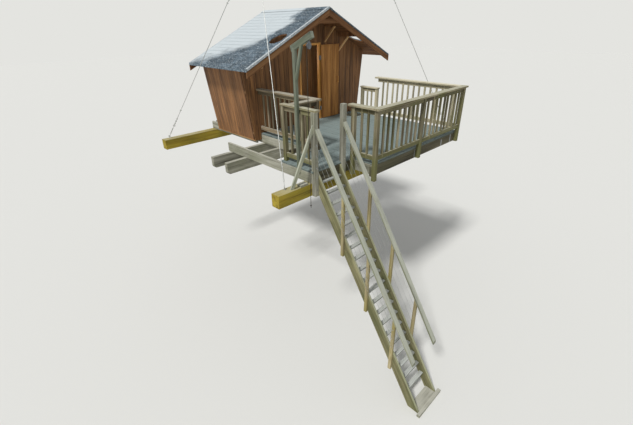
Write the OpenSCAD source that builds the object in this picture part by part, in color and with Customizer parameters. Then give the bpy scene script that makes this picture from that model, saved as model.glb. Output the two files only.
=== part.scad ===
// Tree house on two beams bolted to a pair of trunks, with a steep entrance stair.
// The origin lies on the trunk side of the front main beam, at the left trunk.
// X runs along the gable wall, Y from the stair to the cabin, Z up.

/* [Levels] */
// Height of the main beams, mm
beam_h = 240; // [180:5:300]
// Depth of the deck joists, mm
joist_h = 190; // [140:5:240]
// Thickness of the deck boards, mm
board_t = 38; // [25:1:50]
// Distance from the middle of the main beams down to the ground, mm
ground_drop = 3680; // [2500:10:5000]

/* [Frame] */
// Thickness of each main beam, mm
main_t = 90; // [60:5:140]
// Clear gap between the two main beams, where the trunks stand, mm
trunk_gap = 460; // [300:10:600]
// Distance between the two trunks, mm
trunk_pitch = 2500; // [2400:10:2550]
// Thickness of the treated beams in front and behind, mm
yellow_t = 190; // [120:5:240]
// Thickness of a joist, mm
joist_t = 45; // [35:1:55]

/* [Cabin] */
// Width of the cabin at the floor, outside, mm
cabin_w = 3600; // [3300:10:3900]
// Depth of the cabin, outside, mm
cabin_d = 1660; // [1200:10:2600]
// How far each side wall leans out from floor to eaves, mm
flare = 200; // [0:5:350]
// Thickness of the walls, mm
wall_t = 60; // [40:5:120]
// Width of the doorway, mm
door_w = 600; // [550:5:900]
// Height of the doorway, mm
door_h = 1800; // [1600:10:2100]

/* [Roof] */
// Height of the ridge above the deck, mm
ridge_h = 2580; // [2200:10:3200]
// Height of the eaves above the deck, mm
eave_h = 1500; // [1200:10:1900]
// Half width of the roof, mm
roof_half = 2300; // [2150:10:2700]
// Thickness of the roof panels, mm
roof_t = 50; // [30:1:90]
// Overhang of the roof over the entrance, mm
porch = 665; // [300:5:900]

/* [Railings] */
// Height of the railings above the deck, mm
rail_h = 1000; // [850:10:1150]
// Side of the square posts, mm
post_s = 75; // [60:1:85]
// Side of the square newels at the stair head, mm
newel_s = 85; // [70:1:100]
// Largest distance between balusters, mm
pitch_b = 155; // [90:1:180]
// Width of the boards that cap the railings, mm
cap_w = 140; // [100:1:160]
// Thickness of the caps, mm
cap_t = 35; // [25:1:45]

/* [Stair] */
// Number of treads
treads_n = 20; // [14:1:24]
// Horizontal run of the stair, mm
stair_run = 2540; // [1800:10:3600]
// Thickness of a stringer, mm
string_t = 40; // [30:1:60]
// Depth of a tread, mm
tread_d = 75; // [60:5:115]
// Thickness of a tread, mm
tread_t = 34; // [25:1:50]

/* [Hidden] */
fit = 0.5;
half_h = beam_h / 2;
joist_z = half_h;
deck_u = half_h + joist_h;
deck_z = deck_u + board_t;
ground_z = -ground_drop;
front_y = -2075;
head_y = front_y - joist_t;
left_x = -1290;
step_x = -400;
step_y = -1240;
right_x = 2860;
nose_y = -2637;
side_x = -252;
wall_y = 575;
back_y = wall_y + cabin_d;
far_y = 2680;
ridge_x = 1220;
cab_l = ridge_x - cabin_w / 2;
cab_r = ridge_x + cabin_w / 2;
ridge_z = deck_z + ridge_h;
eave_z = deck_z + eave_h;
roof_a = atan((ridge_z - eave_z) / roof_half);
roof_v = roof_t / cos(roof_a);
roof_f = wall_y - porch;
roof_b = back_y + 55;
skirt_z = deck_z - 150;
lean = flare / (eave_z - skirt_z);
door_l = 920;
door_r = door_l + door_w;
door_top = deck_z + door_h;
jamb_l = 45;
jamb_r = 70;
pin_x = door_r + 40;
pin_y = wall_y - 27.5;
leaf_w = 636;
leaf_t = 35;
leaf_h = door_h - 22;
newel_y = front_y - newel_s;
newel_l = left_x + 15;
newel_r = -572;
str_l = newel_l + newel_s;
str_r = newel_r - string_t;
rise = (deck_z - ground_z) / (treads_n + 2);
stair_a = atan((deck_z - ground_z) / stair_run);
foot_y = head_y - stair_run;
line_l = -1205;
line_c = step_x + 22;
line_s = side_x - post_s / 2;
line_f = nose_y - post_s / 2;
line_r = 2780;
cross_y = step_y - 50;
short_y = head_y - post_s;
low_y = -330;
mid_x = 1167;
low_rail = 730;
hand_up = 765;
hand_v = 40 / cos(stair_a);
post_y_l = [-2765, -3357, -3978];
post_y_r = [-2815, -3385, -3977];
cable_up = [130, 330, 530];
brace_d = [-1460, -600, 520, 1020];
arm_foot = [-1278, -1695, 2270];
arm_tip = [-1326, -2215, 2476];
davit_x = line_l - 50 - 58;
block_at = [-1319, -2134, 2330];
block_r = 42;
rope_r = 6;
$fn = 24;

// the rope's route, from the block down to its knot
ROPE = [[-1368, -2134, 2330], [-1368, -2134, 2240], [-1368, -2134, 2080], [-1368, -2134, 1900],
        [-1368, -2134, 1700], [-1369, -2134, 1500], [-1369, -2134, 1300], [-1369, -2134, 1100],
        [-1368, -2134, 900], [-1368, -2134, 700], [-1367, -2134, 500], [-1367, -2134, 300],
        [-1367, -2134, 140], [-1367, -2134, 0], [-1367, -2134, -130], [-1367, -2134, -250]];

TIMBER = "#8f8673";
STAIN = "#7a4229";
YELLOW = "#8f8332";
STEEL = "#a7abad";
SLATE = "#4a5a70";

// height of the underside of the roof at x
function soffit(x) = ridge_z - roof_v - fit - abs(x - ridge_x) * tan(roof_a);
// outer face of the left wall at height z
function lean_l(z) = cab_l - (z - skirt_z) * lean;
// outer face of the right wall at height z
function lean_r(z) = cab_r + (z - skirt_z) * lean;
// height where a line that leans like the wall meets the soffit, w inside the outer face
function meet_z(w) = (soffit(ridge_x) - (ridge_x - cab_l - w - skirt_z * lean) * tan(roof_a))
                     / (1 + lean * tan(roof_a));
// height of the stair's nosing line at y
function nose_z(y) = deck_z + (y - head_y) * tan(stair_a);
// how many balusters stand in a bay of this length
function balusters(len) = max(1, ceil(len / pitch_b) - 1);

module box(x0, x1, y0, y1, z0, z1) {
    translate([x0, y0, z0])
        cube([x1 - x0, y1 - y0, z1 - z0]);
}

// a square bar from a to b, w wide across and h deep
module bar(a, b, w, h) {
    d = b - a;
    len = norm(d);
    translate(a)
        rotate([0, 0, atan2(d[1], d[0])])
            rotate([0, -asin(d[2] / len), 0])
                translate([0, -w / 2, -h / 2])
                    cube([len, w, h]);
}

// a round rod from a to b
module rod(a, b, r) {
    d = b - a;
    len = norm(d);
    translate(a)
        rotate([0, 0, atan2(d[1], d[0])])
            rotate([0, 90 - asin(d[2] / len), 0])
                cylinder(h = len, r = r);
}

// a profile drawn in X and Z, from y0 to y1
module slab_y(pts, y0, y1) {
    translate([0, y1, 0])
        rotate([90, 0, 0])
            linear_extrude(y1 - y0)
                polygon(pts);
}

// a profile drawn in Y and Z, from x0 to x1
module slab_x(pts, x0, x1) {
    translate([x0, 0, 0])
        rotate([90, 0, 90])
            linear_extrude(x1 - x0)
                polygon(pts);
}

// a bar along the stair between x0 and x1, whose edges keep the heights u0 and u1 above the nosings
module raked(x0, x1, y0, y1, u0, u1) {
    slab_x([[y0, nose_z(y0) + u0], [y1, nose_z(y1) + u0], [y1, nose_z(y1) + u1],
            [y0, nose_z(y0) + u1]], x0, x1);
}

// a square post around the point x, y
module post(x, y, z0, z1) {
    r = post_s / 2;
    box(x - r, x + r, y - r, y + r, z0, z1);
}

// bottom rail and balusters of one bay, along X from 0 to len
module bay(len, top) {
    n = balusters(len);
    gap = len / (n + 1);
    translate([0, -20, deck_z + 80])
        cube([len, 40, 85]);
    for (i = [1 : n])
        translate([i * gap - 18, -18, deck_z + 100])
            cube([36, 36, top - 100 - cap_t / 2]);
}

// cap of a railing along X, from a to b
module cap(a, b, top, w) {
    translate([a, -w / 2, deck_z + top - cap_t])
        cube([b - a, w, cap_t]);
}

module main_beam(y0) {
    slope = 60;
    slab_y([[-1780, half_h], [3050, half_h], [3050, -half_h + slope],
            [3050 - slope, -half_h], [-1780 + slope, -half_h], [-1780, -half_h + slope]],
           y0, y0 + main_t);
}

module main_beams() {
    color(TIMBER)
        difference() {
            union() {
                main_beam(-main_t);
                main_beam(trunk_gap);
            }
            for (x = [-60, 60, trunk_pitch - 60, trunk_pitch + 60])
                translate([x, -main_t - 5, 0])
                    rotate([-90, 0, 0])
                        cylinder(h = trunk_gap + 2 * main_t + 10, r = 13);
        }
}

module front_beam() {
    color(YELLOW)
        box(-2030, 3900, front_y, front_y + yellow_t, -half_h, half_h);
}

module rear_beam() {
    color(YELLOW)
        box(-1950, 3560, far_y - yellow_t, far_y, -half_h, half_h);
}

module outer_joist() {
    color(TIMBER)
        box(left_x, left_x + joist_t, front_y, 620, joist_z, deck_u);
}

module deck_joists() {
    color(TIMBER) {
        for (x = [220, 760, 1300, 1840, 2190, right_x - joist_t])
            box(x, x + joist_t, nose_y + joist_t, far_y, joist_z, deck_u);
        box(side_x, side_x + joist_t, nose_y + joist_t, far_y, joist_z, deck_u);
        box(step_x, step_x + joist_t, front_y, far_y, joist_z, deck_u);
        for (x = [cab_l + wall_t + 5, cab_r - wall_t - 5 - joist_t])
            box(x, x + joist_t, wall_y + wall_t, far_y, joist_z, deck_u);
    }
}

module cross_joists() {
    color(TIMBER) {
        box(str_l, newel_r, head_y, front_y, joist_z, deck_u);
        box(newel_r + newel_s, side_x, head_y, front_y, joist_z, deck_u);
        box(left_x + joist_t, step_x, step_y - joist_t, step_y, joist_z, deck_u);
    }
}

module nose_rim() {
    color(TIMBER)
        box(side_x - post_s, right_x, nose_y, nose_y + joist_t, joist_z, deck_u);
}

module trunk_hole(x, r) {
    translate([x, trunk_gap / 2, deck_u - 5])
        cylinder(h = board_t + 10, r = r, $fn = 48);
}

module entrance_deck() {
    color(TIMBER)
        difference() {
            translate([0, 0, deck_u])
                linear_extrude(board_t)
                    polygon([[left_x, head_y], [side_x, head_y], [side_x, wall_y],
                             [step_x, wall_y], [step_x, step_y], [left_x, step_y]]);
            for (x = [newel_l, newel_r])
                translate([x, newel_y, deck_u - 5])
                    cube([newel_s, newel_s, board_t + 10]);
        }
}

module right_deck() {
    color(TIMBER)
        difference() {
            box(side_x, right_x, nose_y, wall_y, deck_u, deck_z);
            trunk_hole(0, 200);
            trunk_hole(trunk_pitch, 240);
        }
}

module cabin_floor() {
    in_l = lean_l(deck_u) + wall_t + fit;
    in_r = lean_r(deck_u) - wall_t - fit;
    in_y = wall_y + wall_t + fit;
    color(TIMBER)
        translate([0, 0, deck_u])
            linear_extrude(board_t)
                polygon([[in_l, in_y], [step_x, in_y], [step_x, wall_y], [right_x, wall_y],
                         [right_x, in_y], [in_r, in_y], [in_r, back_y], [in_l, back_y]]);
}

// the front wall beside the doorway, from its edge at x = a out to the left corner
module front_wall_side(a, cut) {
    slab_y([[cut, skirt_z], [cab_l, skirt_z], [lean_l(meet_z(0)), meet_z(0)], [a, soffit(a)],
            [a, deck_z], [cut, deck_z]], wall_y, wall_y + wall_t);
}

module front_wall_left() {
    color(STAIN)
        front_wall_side(door_l - jamb_l, step_x - 5);
}

module front_wall_right() {
    color(STAIN)
        translate([2 * ridge_x, 0, 0])
            mirror([1, 0, 0])
                front_wall_side(2 * ridge_x - door_r - jamb_r, 2 * ridge_x - right_x - 5);
}

module front_wall_top() {
    a = door_l - jamb_l;
    b = door_r + jamb_r;
    color(STAIN)
        slab_y([[a, door_top + 45], [a, soffit(a)], [ridge_x, soffit(ridge_x)], [b, soffit(b)],
                [b, door_top + 45]], wall_y, wall_y + wall_t);
}

module side_wall() {
    za = meet_z(0);
    zb = meet_z(wall_t);
    slab_y([[cab_l, skirt_z], [lean_l(za), za], [lean_l(zb) + wall_t, zb],
            [cab_l + wall_t, skirt_z]], wall_y + wall_t, back_y);
}

module left_wall() {
    color(STAIN)
        side_wall();
}

module right_wall() {
    color(STAIN)
        translate([2 * ridge_x, 0, 0])
            mirror([1, 0, 0])
                side_wall();
}

module back_wall() {
    in = wall_t + fit;
    zb = meet_z(wall_t) - fit;
    color(STAIN)
        slab_y([[lean_l(deck_z) + in, deck_z], [lean_l(zb) + in, zb],
                [ridge_x, soffit(ridge_x)], [lean_r(zb) - in, zb],
                [lean_r(deck_z) - in, deck_z]], back_y - wall_t, back_y);
}

module door_frame() {
    color("#b5672a") {
        box(door_l - jamb_l, door_l, wall_y, wall_y + wall_t, deck_z, door_top);
        box(door_r, door_r + jamb_r, wall_y, wall_y + wall_t, deck_z, door_top);
        box(door_l - jamb_l, door_r + jamb_r, wall_y, wall_y + wall_t, door_top, door_top + 45);
    }
}

module roof_panel(s, cut_x, cut_r) {
    color(SLATE)
        difference() {
            slab_y([[ridge_x, ridge_z], [ridge_x + s * roof_half, eave_z],
                    [ridge_x + s * roof_half, eave_z - roof_v], [ridge_x, ridge_z - roof_v]],
                   roof_f, roof_b);
            translate([cut_x, trunk_gap / 2, eave_z - 200])
                cylinder(h = ridge_h, r = cut_r, $fn = 48);
        }
}

module roof_left() {
    roof_panel(-1, 0, 195);
}

module roof_right() {
    roof_panel(1, trunk_pitch, 240);
}

module rake_boards() {
    drop = 120;
    tie_z = [2600, 2690];
    color(STAIN) {
        for (y = [roof_f, roof_b - 25])
            slab_y([[ridge_x, soffit(ridge_x)], [ridge_x + roof_half, eave_z - roof_v - fit],
                    [ridge_x + roof_half, eave_z - roof_v - drop],
                    [ridge_x, ridge_z - roof_v - drop],
                    [ridge_x - roof_half, eave_z - roof_v - drop],
                    [ridge_x - roof_half, eave_z - roof_v - fit]], y, y + 25);
        slab_y([for (s = [-1, 1], z = s < 0 ? tie_z : [tie_z[1], tie_z[0]])
                    [ridge_x + s * (soffit(ridge_x) - z) / tan(roof_a), z]],
               roof_f + 20, roof_f + 60);
    }
}

module lookout(x) {
    slab_y([[x - 22, soffit(x - 22)], [x + 22, soffit(x + 22)], [x + 22, soffit(x) - 90],
            [x - 22, soffit(x) - 90]], roof_f + 61, wall_y);
}

module lookouts() {
    color(STAIN)
        for (d = brace_d)
            lookout(ridge_x + d);
}

module knee_braces() {
    color("#9a7a55")
        for (d = brace_d)
            translate([ridge_x + d, 0, soffit(ridge_x + d) - 90])
                slab_x([[wall_y - 350, 0], [wall_y - 300, 0], [wall_y, -300], [wall_y, -350]],
                       -18, 18);
}

module door_leaf() {
    color("#8a5230")
        box(pin_x + 15, pin_x + 15 + leaf_w, pin_y - leaf_t / 2, pin_y + leaf_t / 2,
            deck_z + 12, deck_z + 12 + leaf_h);
}

module hinge_part(moving) {
    for (z = [deck_z + 260, deck_z + 1480])
        translate([pin_x, pin_y, z])
            if (moving) {
                difference() {
                    union() {
                        cylinder(h = 38, r = 8);
                        translate([0, -3, 0])
                            cube([15, 6, 38]);
                    }
                    translate([0, 0, -1])
                        cylinder(h = 40, r = 4.05);
                }
            } else {
                translate([0, 0, -31])
                    cylinder(h = 100, r = 4);
                for (k = [-31, 39]) {
                    translate([0, 0, k])
                        cylinder(h = 30, r = 8);
                    translate([-3, 0, k])
                        cube([6, wall_y - pin_y, 30]);
                }
                translate([-30, wall_y - pin_y - 3, -31])
                    cube([56, 3, 100]);
            }
}

module door_hinges() {
    color(STEEL)
        hinge_part(false);
}

module leaf_knuckles() {
    color(STEEL)
        hinge_part(true);
}

module rail_cabin_side() {
    len = wall_y - cross_y - post_s / 2;
    color(TIMBER) {
        translate([line_c, wall_y, 0])
            rotate([0, 0, -90]) {
                bay(len, rail_h);
                cap(0, wall_y - cross_y + cap_w / 2, rail_h, cap_w);
            }
        post(line_c, cross_y, deck_z, deck_z + rail_h - cap_t / 2);
    }
}

module rail_step() {
    start = line_l + post_s / 2;
    len = line_c - post_s / 2 - start;
    color(TIMBER)
        translate([start, cross_y, 0]) {
            bay(len, rail_h);
            cap(0, line_c - cap_w / 2 - start, rail_h, cap_w);
        }
}

module rail_landing() {
    top = rail_h + 40;
    back = cross_y + 10;
    color(TIMBER) {
        translate([line_l, back, 0])
            rotate([0, 0, -90]) {
                translate([post_s, 0, 0])
                    bay(back - post_s - front_y, top);
                cap(-8, back - newel_y + 12, top, 100);
            }
        post(line_l, back - post_s / 2, deck_z, deck_z + top - cap_t / 2);
    }
}

module rail_short() {
    len = short_y - nose_y;
    color(TIMBER) {
        translate([line_s, short_y, 0])
            rotate([0, 0, -90]) {
                bay(len, rail_h);
                cap(-post_s - 60, short_y - line_f - cap_w / 2, rail_h, cap_w);
            }
        post(line_s, short_y + post_s / 2, joist_z - 80, deck_z + rail_h - cap_t / 2);
    }
}

module rail_front() {
    r = post_s / 2;
    color(TIMBER) {
        for (p = [[line_s, joist_z - 80], [mid_x, joist_z], [line_r, joist_z]])
            post(p[0], line_f, p[1], deck_z + rail_h - cap_t / 2);
        translate([line_s + r, line_f, 0])
            bay(mid_x - r - line_s - r, rail_h);
        translate([mid_x + r, line_f, 0])
            bay(line_r - r - mid_x - r, rail_h);
        translate([0, line_f, 0])
            cap(line_s - cap_w / 2, line_r + cap_w / 2, rail_h, cap_w);
    }
}

module rail_far() {
    color(TIMBER)
        translate([line_r, nose_y, 0])
            rotate([0, 0, 90]) {
                bay(low_y - post_s / 2 - nose_y, rail_h);
                cap(line_f + cap_w / 2 - nose_y, low_y + 40 - nose_y, rail_h, cap_w);
            }
}

module rail_low() {
    len = 410;
    color(TIMBER) {
        translate([line_r, low_y + post_s / 2, 0])
            rotate([0, 0, 90]) {
                bay(len, low_rail);
                cap(-post_s - 10, len + post_s + 10, low_rail, 110);
            }
        for (y = [low_y, low_y + post_s + len])
            post(line_r, y, deck_z, deck_z + low_rail - cap_t / 2);
    }
}

module newels() {
    color(TIMBER) {
        box(newel_l, newel_l + newel_s, newel_y, front_y, -half_h, deck_z + rail_h + 40 - cap_t);
        box(newel_r, newel_r + newel_s, newel_y, front_y, joist_z - 40, deck_z + rail_h + 40);
    }
}

module newel_brace() {
    color(TIMBER)
        intersection() {
            bar([newel_l + 60, front_y - 55, 1220], [-1760, -2005, -40], 36, 60);
            box(-2000, newel_l, newel_y, front_y + yellow_t, half_h, 1500);
        }
}

module stringers() {
    c = 95 / cos(stair_a);
    color(TIMBER)
        for (x = [str_l, str_r])
            slab_x([[head_y, deck_u], [head_y, deck_u - 2 * c],
                    [foot_y + 2 * c / tan(stair_a), ground_z], [foot_y, ground_z]],
                   x, x + string_t);
}

module treads() {
    back = 67;
    drop = 40;
    color(TIMBER)
        for (i = [1 : treads_n]) {
            z = deck_z - i * rise - drop;
            y = head_y - i * rise / tan(stair_a) + back;
            box(str_l + string_t, str_r, y, min(y + tread_d, head_y - fit), z - tread_t, z);
        }
}

module stair_foot() {
    color(TIMBER) {
        box(str_l - 60, str_r + string_t + 60, foot_y - 60, foot_y, ground_z, ground_z + 60);
        box(str_l + string_t, str_r, foot_y, foot_y + 200, ground_z, ground_z + 34);
    }
}

module stair_post(x, y) {
    under = hand_up - hand_v / 2 - fit;
    slab_x([[y - 30, nose_z(y) - 440], [y + 30, nose_z(y) - 440],
            [y + 30, nose_z(y + 30) + under], [y - 30, nose_z(y - 30) + under]], x, x + 40);
}

module stair_posts() {
    color(TIMBER) {
        for (y = post_y_l)
            stair_post(str_l - 40, y);
        for (y = post_y_r)
            stair_post(str_r + string_t, y);
    }
}

module handrails() {
    end_y = foot_y + 225;
    color(TIMBER)
        for (x = [str_l - 60, str_r + string_t + 2])
            raked(x, x + 90, end_y, newel_y - fit, hand_up - hand_v / 2, hand_up + hand_v / 2);
}

module stair_cables() {
    last = post_y_l[2];
    color(STEEL)
        for (x = [str_l - 47, str_r + string_t + 47], u = cable_up) {
            rod([x, newel_y - 12, nose_z(newel_y - 12) + u], [x, last, nose_z(last) + u], 3);
            translate([x, newel_y, nose_z(newel_y) + u - 8])
                rotate([90, 0, 0])
                    cylinder(h = 34, r = 7);
        }
}

module davit() {
    color(TIMBER) {
        box(davit_x, davit_x + 58, -1790, -1732, deck_z, 2290);
        box(davit_x, left_x, -1790, -1732, deck_z - 120, deck_z + 5);
        bar(arm_foot, arm_tip, 50, 90);
        bar([-1290, -1786, 1824], [-1308, -1960, 2360], 36, 50);
    }
}

// the sheave between its cheeks, its hanger and the lug that the rope hangs from
module davit_block() {
    low = block_at[2];
    color(STEEL) {
        translate([block_at[0], block_at[1] - 9, low])
            rotate([-90, 0, 0])
                cylinder(h = 18, r = block_r);
        for (y = [-13, 8])
            translate([block_at[0] - 18, block_at[1] + y, low - 50])
                cube([36, 5, 100]);
        translate([block_at[0] - 9, block_at[1] - 10, low + 35])
            cube([18, 20, 27]);
        translate([ROPE[0][0] - 8, block_at[1] - 7, low])
            cube([35, 14, 20]);
    }
}

module hoist_rope() {
    n = len(ROPE);
    sides = 8;
    rings = [for (p = ROPE, k = [0 : sides - 1])
                p + rope_r * [cos(k * 360 / sides), sin(k * 360 / sides), 0]];
    walls = [for (i = [0 : n - 2], k = [0 : sides - 1])
                [i * sides + k, i * sides + (k + 1) % sides,
                 (i + 1) * sides + (k + 1) % sides, (i + 1) * sides + k]];
    first = [for (k = [sides - 1 : -1 : 0]) k];
    last = [for (k = [0 : sides - 1]) (n - 1) * sides + k];
    color("#4a4036")
        polyhedron(rings, concat(walls, [first, last]), convexity = 4);
}

module rope_knot() {
    color("#4a4036")
        translate(ROPE[len(ROPE) - 1])
            mirror([0, 0, 1]) {
                cylinder(h = 26, r = 15);
                cylinder(h = 60, r = rope_r + 1);
            }
}

// a flat ring standing in the plane of X and Z
module ring(r_out, r_in, t) {
    rotate([90, 0, 0])
        difference() {
            translate([0, 0, -t / 2])
                cylinder(h = t, r = r_out);
            translate([0, 0, -t])
                cylinder(h = 2 * t, r = r_in);
        }
}

// a stay from an eye bolt at a up to b: bottle screw, thimble, clips, rope and its upper eye
module stay(a, b) {
    foot = a + [0, 0, 50];
    d = b - foot;
    len = norm(d);
    turn = atan2(d[1], d[0]);
    color(STEEL) {
        translate(a) {
            cylinder(h = 6, r = 22);
            cylinder(h = 30, r = 8);
        }
        translate(foot)
            rotate([0, 0, turn])
                ring(24, 12, 15);
        translate(foot)
            rotate([0, 0, turn])
                rotate([0, 90 - asin(d[2] / len), 0]) {
                    translate([0, 0, 17])
                        cylinder(h = 305, r = 5);
                    translate([0, 0, 90])
                        cylinder(h = 170, r = 11);
                    for (z = [343, len])
                        translate([0, 0, z])
                            ring(27, 15, 15);
                    translate([0, 0, 364])
                        cylinder(h = len - 364 - 21, r = 6);
                    for (z = [400, 470, 540, 800, len - 190, len - 120, len - 60])
                        translate([-14, -10, z])
                            cube([28, 20, 22]);
                }
    }
}

module front_cable() {
    stay([-1780, -1930, half_h], [-760, -330, 3160]);
}

module rear_cable() {
    stay([-1780, 2600, half_h], [-700, 745, 3140]);
}

module far_cable() {
    stay([3700, -1950, half_h], [3000, -450, 3160]);
}

main_beams();
front_beam();
rear_beam();
outer_joist();
deck_joists();
cross_joists();
nose_rim();
entrance_deck();
right_deck();
cabin_floor();
front_wall_left();
front_wall_right();
front_wall_top();
left_wall();
right_wall();
back_wall();
door_frame();
roof_left();
roof_right();
rake_boards();
lookouts();
knee_braces();
door_leaf();
door_hinges();
leaf_knuckles();
rail_cabin_side();
rail_step();
rail_landing();
rail_short();
rail_front();
rail_far();
rail_low();
newels();
newel_brace();
stringers();
treads();
stair_foot();
stair_posts();
handrails();
stair_cables();
davit();
davit_block();
hoist_rope();
rope_knot();
front_cable();
rear_cable();
far_cable();
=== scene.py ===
"""Looks of the tree house: boards, railings, stair, roof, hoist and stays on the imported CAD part.

Lengths are in millimetres, as in the part's own drawing, and turn to metres where a mesh is made.
X runs along the gable wall, Y from the stair to the cabin and Z up, as in the CAD part.
"""

import logging
import math
import random
from dataclasses import dataclass
from enum import Enum
from typing import Any, Iterable, Sequence

import bmesh
import bpy
from mathutils import Matrix, Vector


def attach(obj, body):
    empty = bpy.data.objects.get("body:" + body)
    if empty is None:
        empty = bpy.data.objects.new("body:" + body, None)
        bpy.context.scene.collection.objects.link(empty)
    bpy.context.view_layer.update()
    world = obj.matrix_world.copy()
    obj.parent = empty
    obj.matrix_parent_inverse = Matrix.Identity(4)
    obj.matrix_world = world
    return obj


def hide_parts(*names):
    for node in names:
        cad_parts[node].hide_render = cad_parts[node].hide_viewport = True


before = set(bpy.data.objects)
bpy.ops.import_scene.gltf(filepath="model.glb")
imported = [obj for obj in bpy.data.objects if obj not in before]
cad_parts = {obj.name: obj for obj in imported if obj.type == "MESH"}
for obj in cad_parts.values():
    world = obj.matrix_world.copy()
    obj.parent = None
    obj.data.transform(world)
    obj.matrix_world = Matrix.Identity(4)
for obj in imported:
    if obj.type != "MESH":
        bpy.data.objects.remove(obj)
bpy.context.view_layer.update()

LOG = logging.getLogger("tree_house")
MM = 0.001
GRAIN = "grain"
TONE = "tone"
Tree = bpy.types.NodeTree
Node = bpy.types.Node
Socket = bpy.types.NodeSocket
Mesh = bpy.types.Mesh
Thing = bpy.types.Object
Floats = Sequence[float]
Point = tuple[float, float, float]
Pair = tuple[float, float]
UP = Vector((0, 0, 1))
ALONG_X = Vector((1, 0, 0))
ALONG_Y = Vector((0, 1, 0))

# node kinds that the trees use most
NOISE = "ShaderNodeTexNoise"
RANGE = "ShaderNodeMapRange"
MATH = "ShaderNodeMath"
VECTOR = "ShaderNodeVectorMath"
RAMP = "ShaderNodeValToRGB"
BUMP = "ShaderNodeBump"
COORD = "ShaderNodeTexCoord"
SPLIT = "ShaderNodeSeparateXYZ"
REALIZE = "GeometryNodeRealizeInstances"
ON_POINTS = "GeometryNodeInstanceOnPoints"
READ = "GeometryNodeInputNamedAttribute"
RANDOM = "FunctionNodeRandomValue"


# Small tools


def linear(code: str) -> tuple[float, float, float, float]:
    """Turn an sRGB hex colour into the linear values that a shader takes.

    Args:
        code: the colour, such as "#8a7f66".

    Returns:
        Red, green, blue and an alpha of 1.
    """
    parts = [int(code[i : i + 2], 16) / 255 for i in (1, 3, 5)]
    done = [c / 12.92 if c <= 0.04045 else ((c + 0.055) / 1.055) ** 2.4 for c in parts]
    return done[0], done[1], done[2], 1


def add(
    tree: Tree, kind: str, inputs: dict[Any, Any] | None = None,
    stops: Sequence[tuple[float, str]] = (), **settings: Any,
) -> Node:
    """Add a node to a tree with its settings, and its inputs set or linked.

    Args:
        tree: the node tree.
        kind: the node's type name.
        inputs: socket name or number, and what goes there: a value, an output socket, or a
            node, whose first output is meant.
        stops: places and hex colours on a colour ramp: its first, its last, then those between.
        settings: the node's own properties.

    Returns:
        The new node.
    """
    made = tree.nodes.new(kind)
    for name, value in settings.items():
        setattr(made, name, value)
    for name, value in (inputs or {}).items():
        socket = made.inputs[name]
        if isinstance(value, Node):
            value = value.outputs[0]
        if isinstance(value, Socket):
            tree.links.new(value, socket)
        else:
            socket.default_value = value
    for i, (place, code) in enumerate(stops):
        elements = made.color_ramp.elements
        stop = elements[i] if i < 2 else elements.new(place)
        stop.position = place
        stop.color = linear(code)
    return made


def span(value: Any, low: float, high: float, first: Any = 0, last: Any = 1) -> dict[str, Any]:
    """Return the inputs that turn a value from low to high into one from first to last."""
    return {"Value": value, "From Min": low, "From Max": high, "To Min": first, "To Max": last}


def layered(tree: Tree, colour: Any, *coats: tuple[Any, ...]) -> Any:
    """Lay coats of colour over each other.

    Args:
        tree: the material's tree.
        colour: the colour underneath, linear or from a node.
        coats: the share of each coat, its colour and, unless it covers, its way of mixing.

    Returns:
        The socket of the colour on top.
    """
    for share, over, *blend in coats:
        coat = {0: share, 6: colour, 7: over}
        settings = {"data_type": "RGBA", "blend_type": blend[0] if blend else "MIX"}
        colour = add(tree, "ShaderNodeMix", coat, **settings).outputs[2]
    return colour


def scaled(points: Iterable[Floats]) -> list[Vector]:
    """Return points given in millimetres as vectors in metres."""
    return [Vector(p) * MM for p in points]


def turned(degrees: float, at: Point, axis: str = "Z") -> Matrix:
    """Return a turn about an axis through a point given in millimetres."""
    place = Matrix.Translation(Vector(at) * MM)
    return place @ Matrix.Rotation(math.radians(degrees), 4, axis)


def holder(data: Any, name: str = "holder") -> Thing:
    """Put a mesh, a lamp or the camera in the scene as an object at the origin.

    Args:
        data: what the object shows.
        name: its name.

    Returns:
        The new object.
    """
    made = bpy.data.objects.new(name, data)
    bpy.context.scene.collection.objects.link(made)
    return made


def evaluated(obj: Thing) -> Mesh:
    """Work an object's modifiers into a mesh, and remove the object.

    Args:
        obj: the object, with its modifiers.

    Returns:
        The plain mesh.
    """
    graph = bpy.context.evaluated_depsgraph_get()
    mesh = bpy.data.meshes.new_from_object(obj.evaluated_get(graph))
    bpy.data.objects.remove(obj)
    return mesh


def joined(meshes: Sequence[Mesh]) -> Mesh:
    """Join meshes into one.

    Args:
        meshes: the meshes, each in place.

    Returns:
        One mesh with the faces and attributes of all.
    """
    work = bmesh.new()
    for mesh in meshes:
        work.from_mesh(mesh)
    made = bpy.data.meshes.new("joined")
    work.to_mesh(made)
    work.free()
    return made


def outward(source: Mesh, target: Mesh, merge_mm: float = 0) -> None:
    """Turn the faces of closed solids outward.

    Args:
        source: the mesh that is read.
        target: the mesh that gets the result, which may be the same one.
        merge_mm: how near two points are merged, or 0 to merge none.
    """
    work = bmesh.new()
    work.from_mesh(source)
    if merge_mm:
        bmesh.ops.remove_doubles(work, verts=work.verts, dist=merge_mm * MM)
    bmesh.ops.recalc_face_normals(work, faces=work.faces)
    work.to_mesh(target)
    work.free()


def mark(mesh: Mesh, grain: Sequence[Vector], tone: Floats) -> None:
    """Write what the timber finishes read from a mesh.

    Args:
        mesh: the mesh.
        grain: a place along and across the grain for each face corner, in metres.
        tone: how light each face corner is, from 0 to 1.
    """
    layer = mesh.attributes.new(GRAIN, "FLOAT_VECTOR", "CORNER")
    layer.data.foreach_set("vector", [c for v in grain for c in v])
    layer = mesh.attributes.new(TONE, "FLOAT", "CORNER")
    layer.data.foreach_set("value", list(tone))


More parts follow.
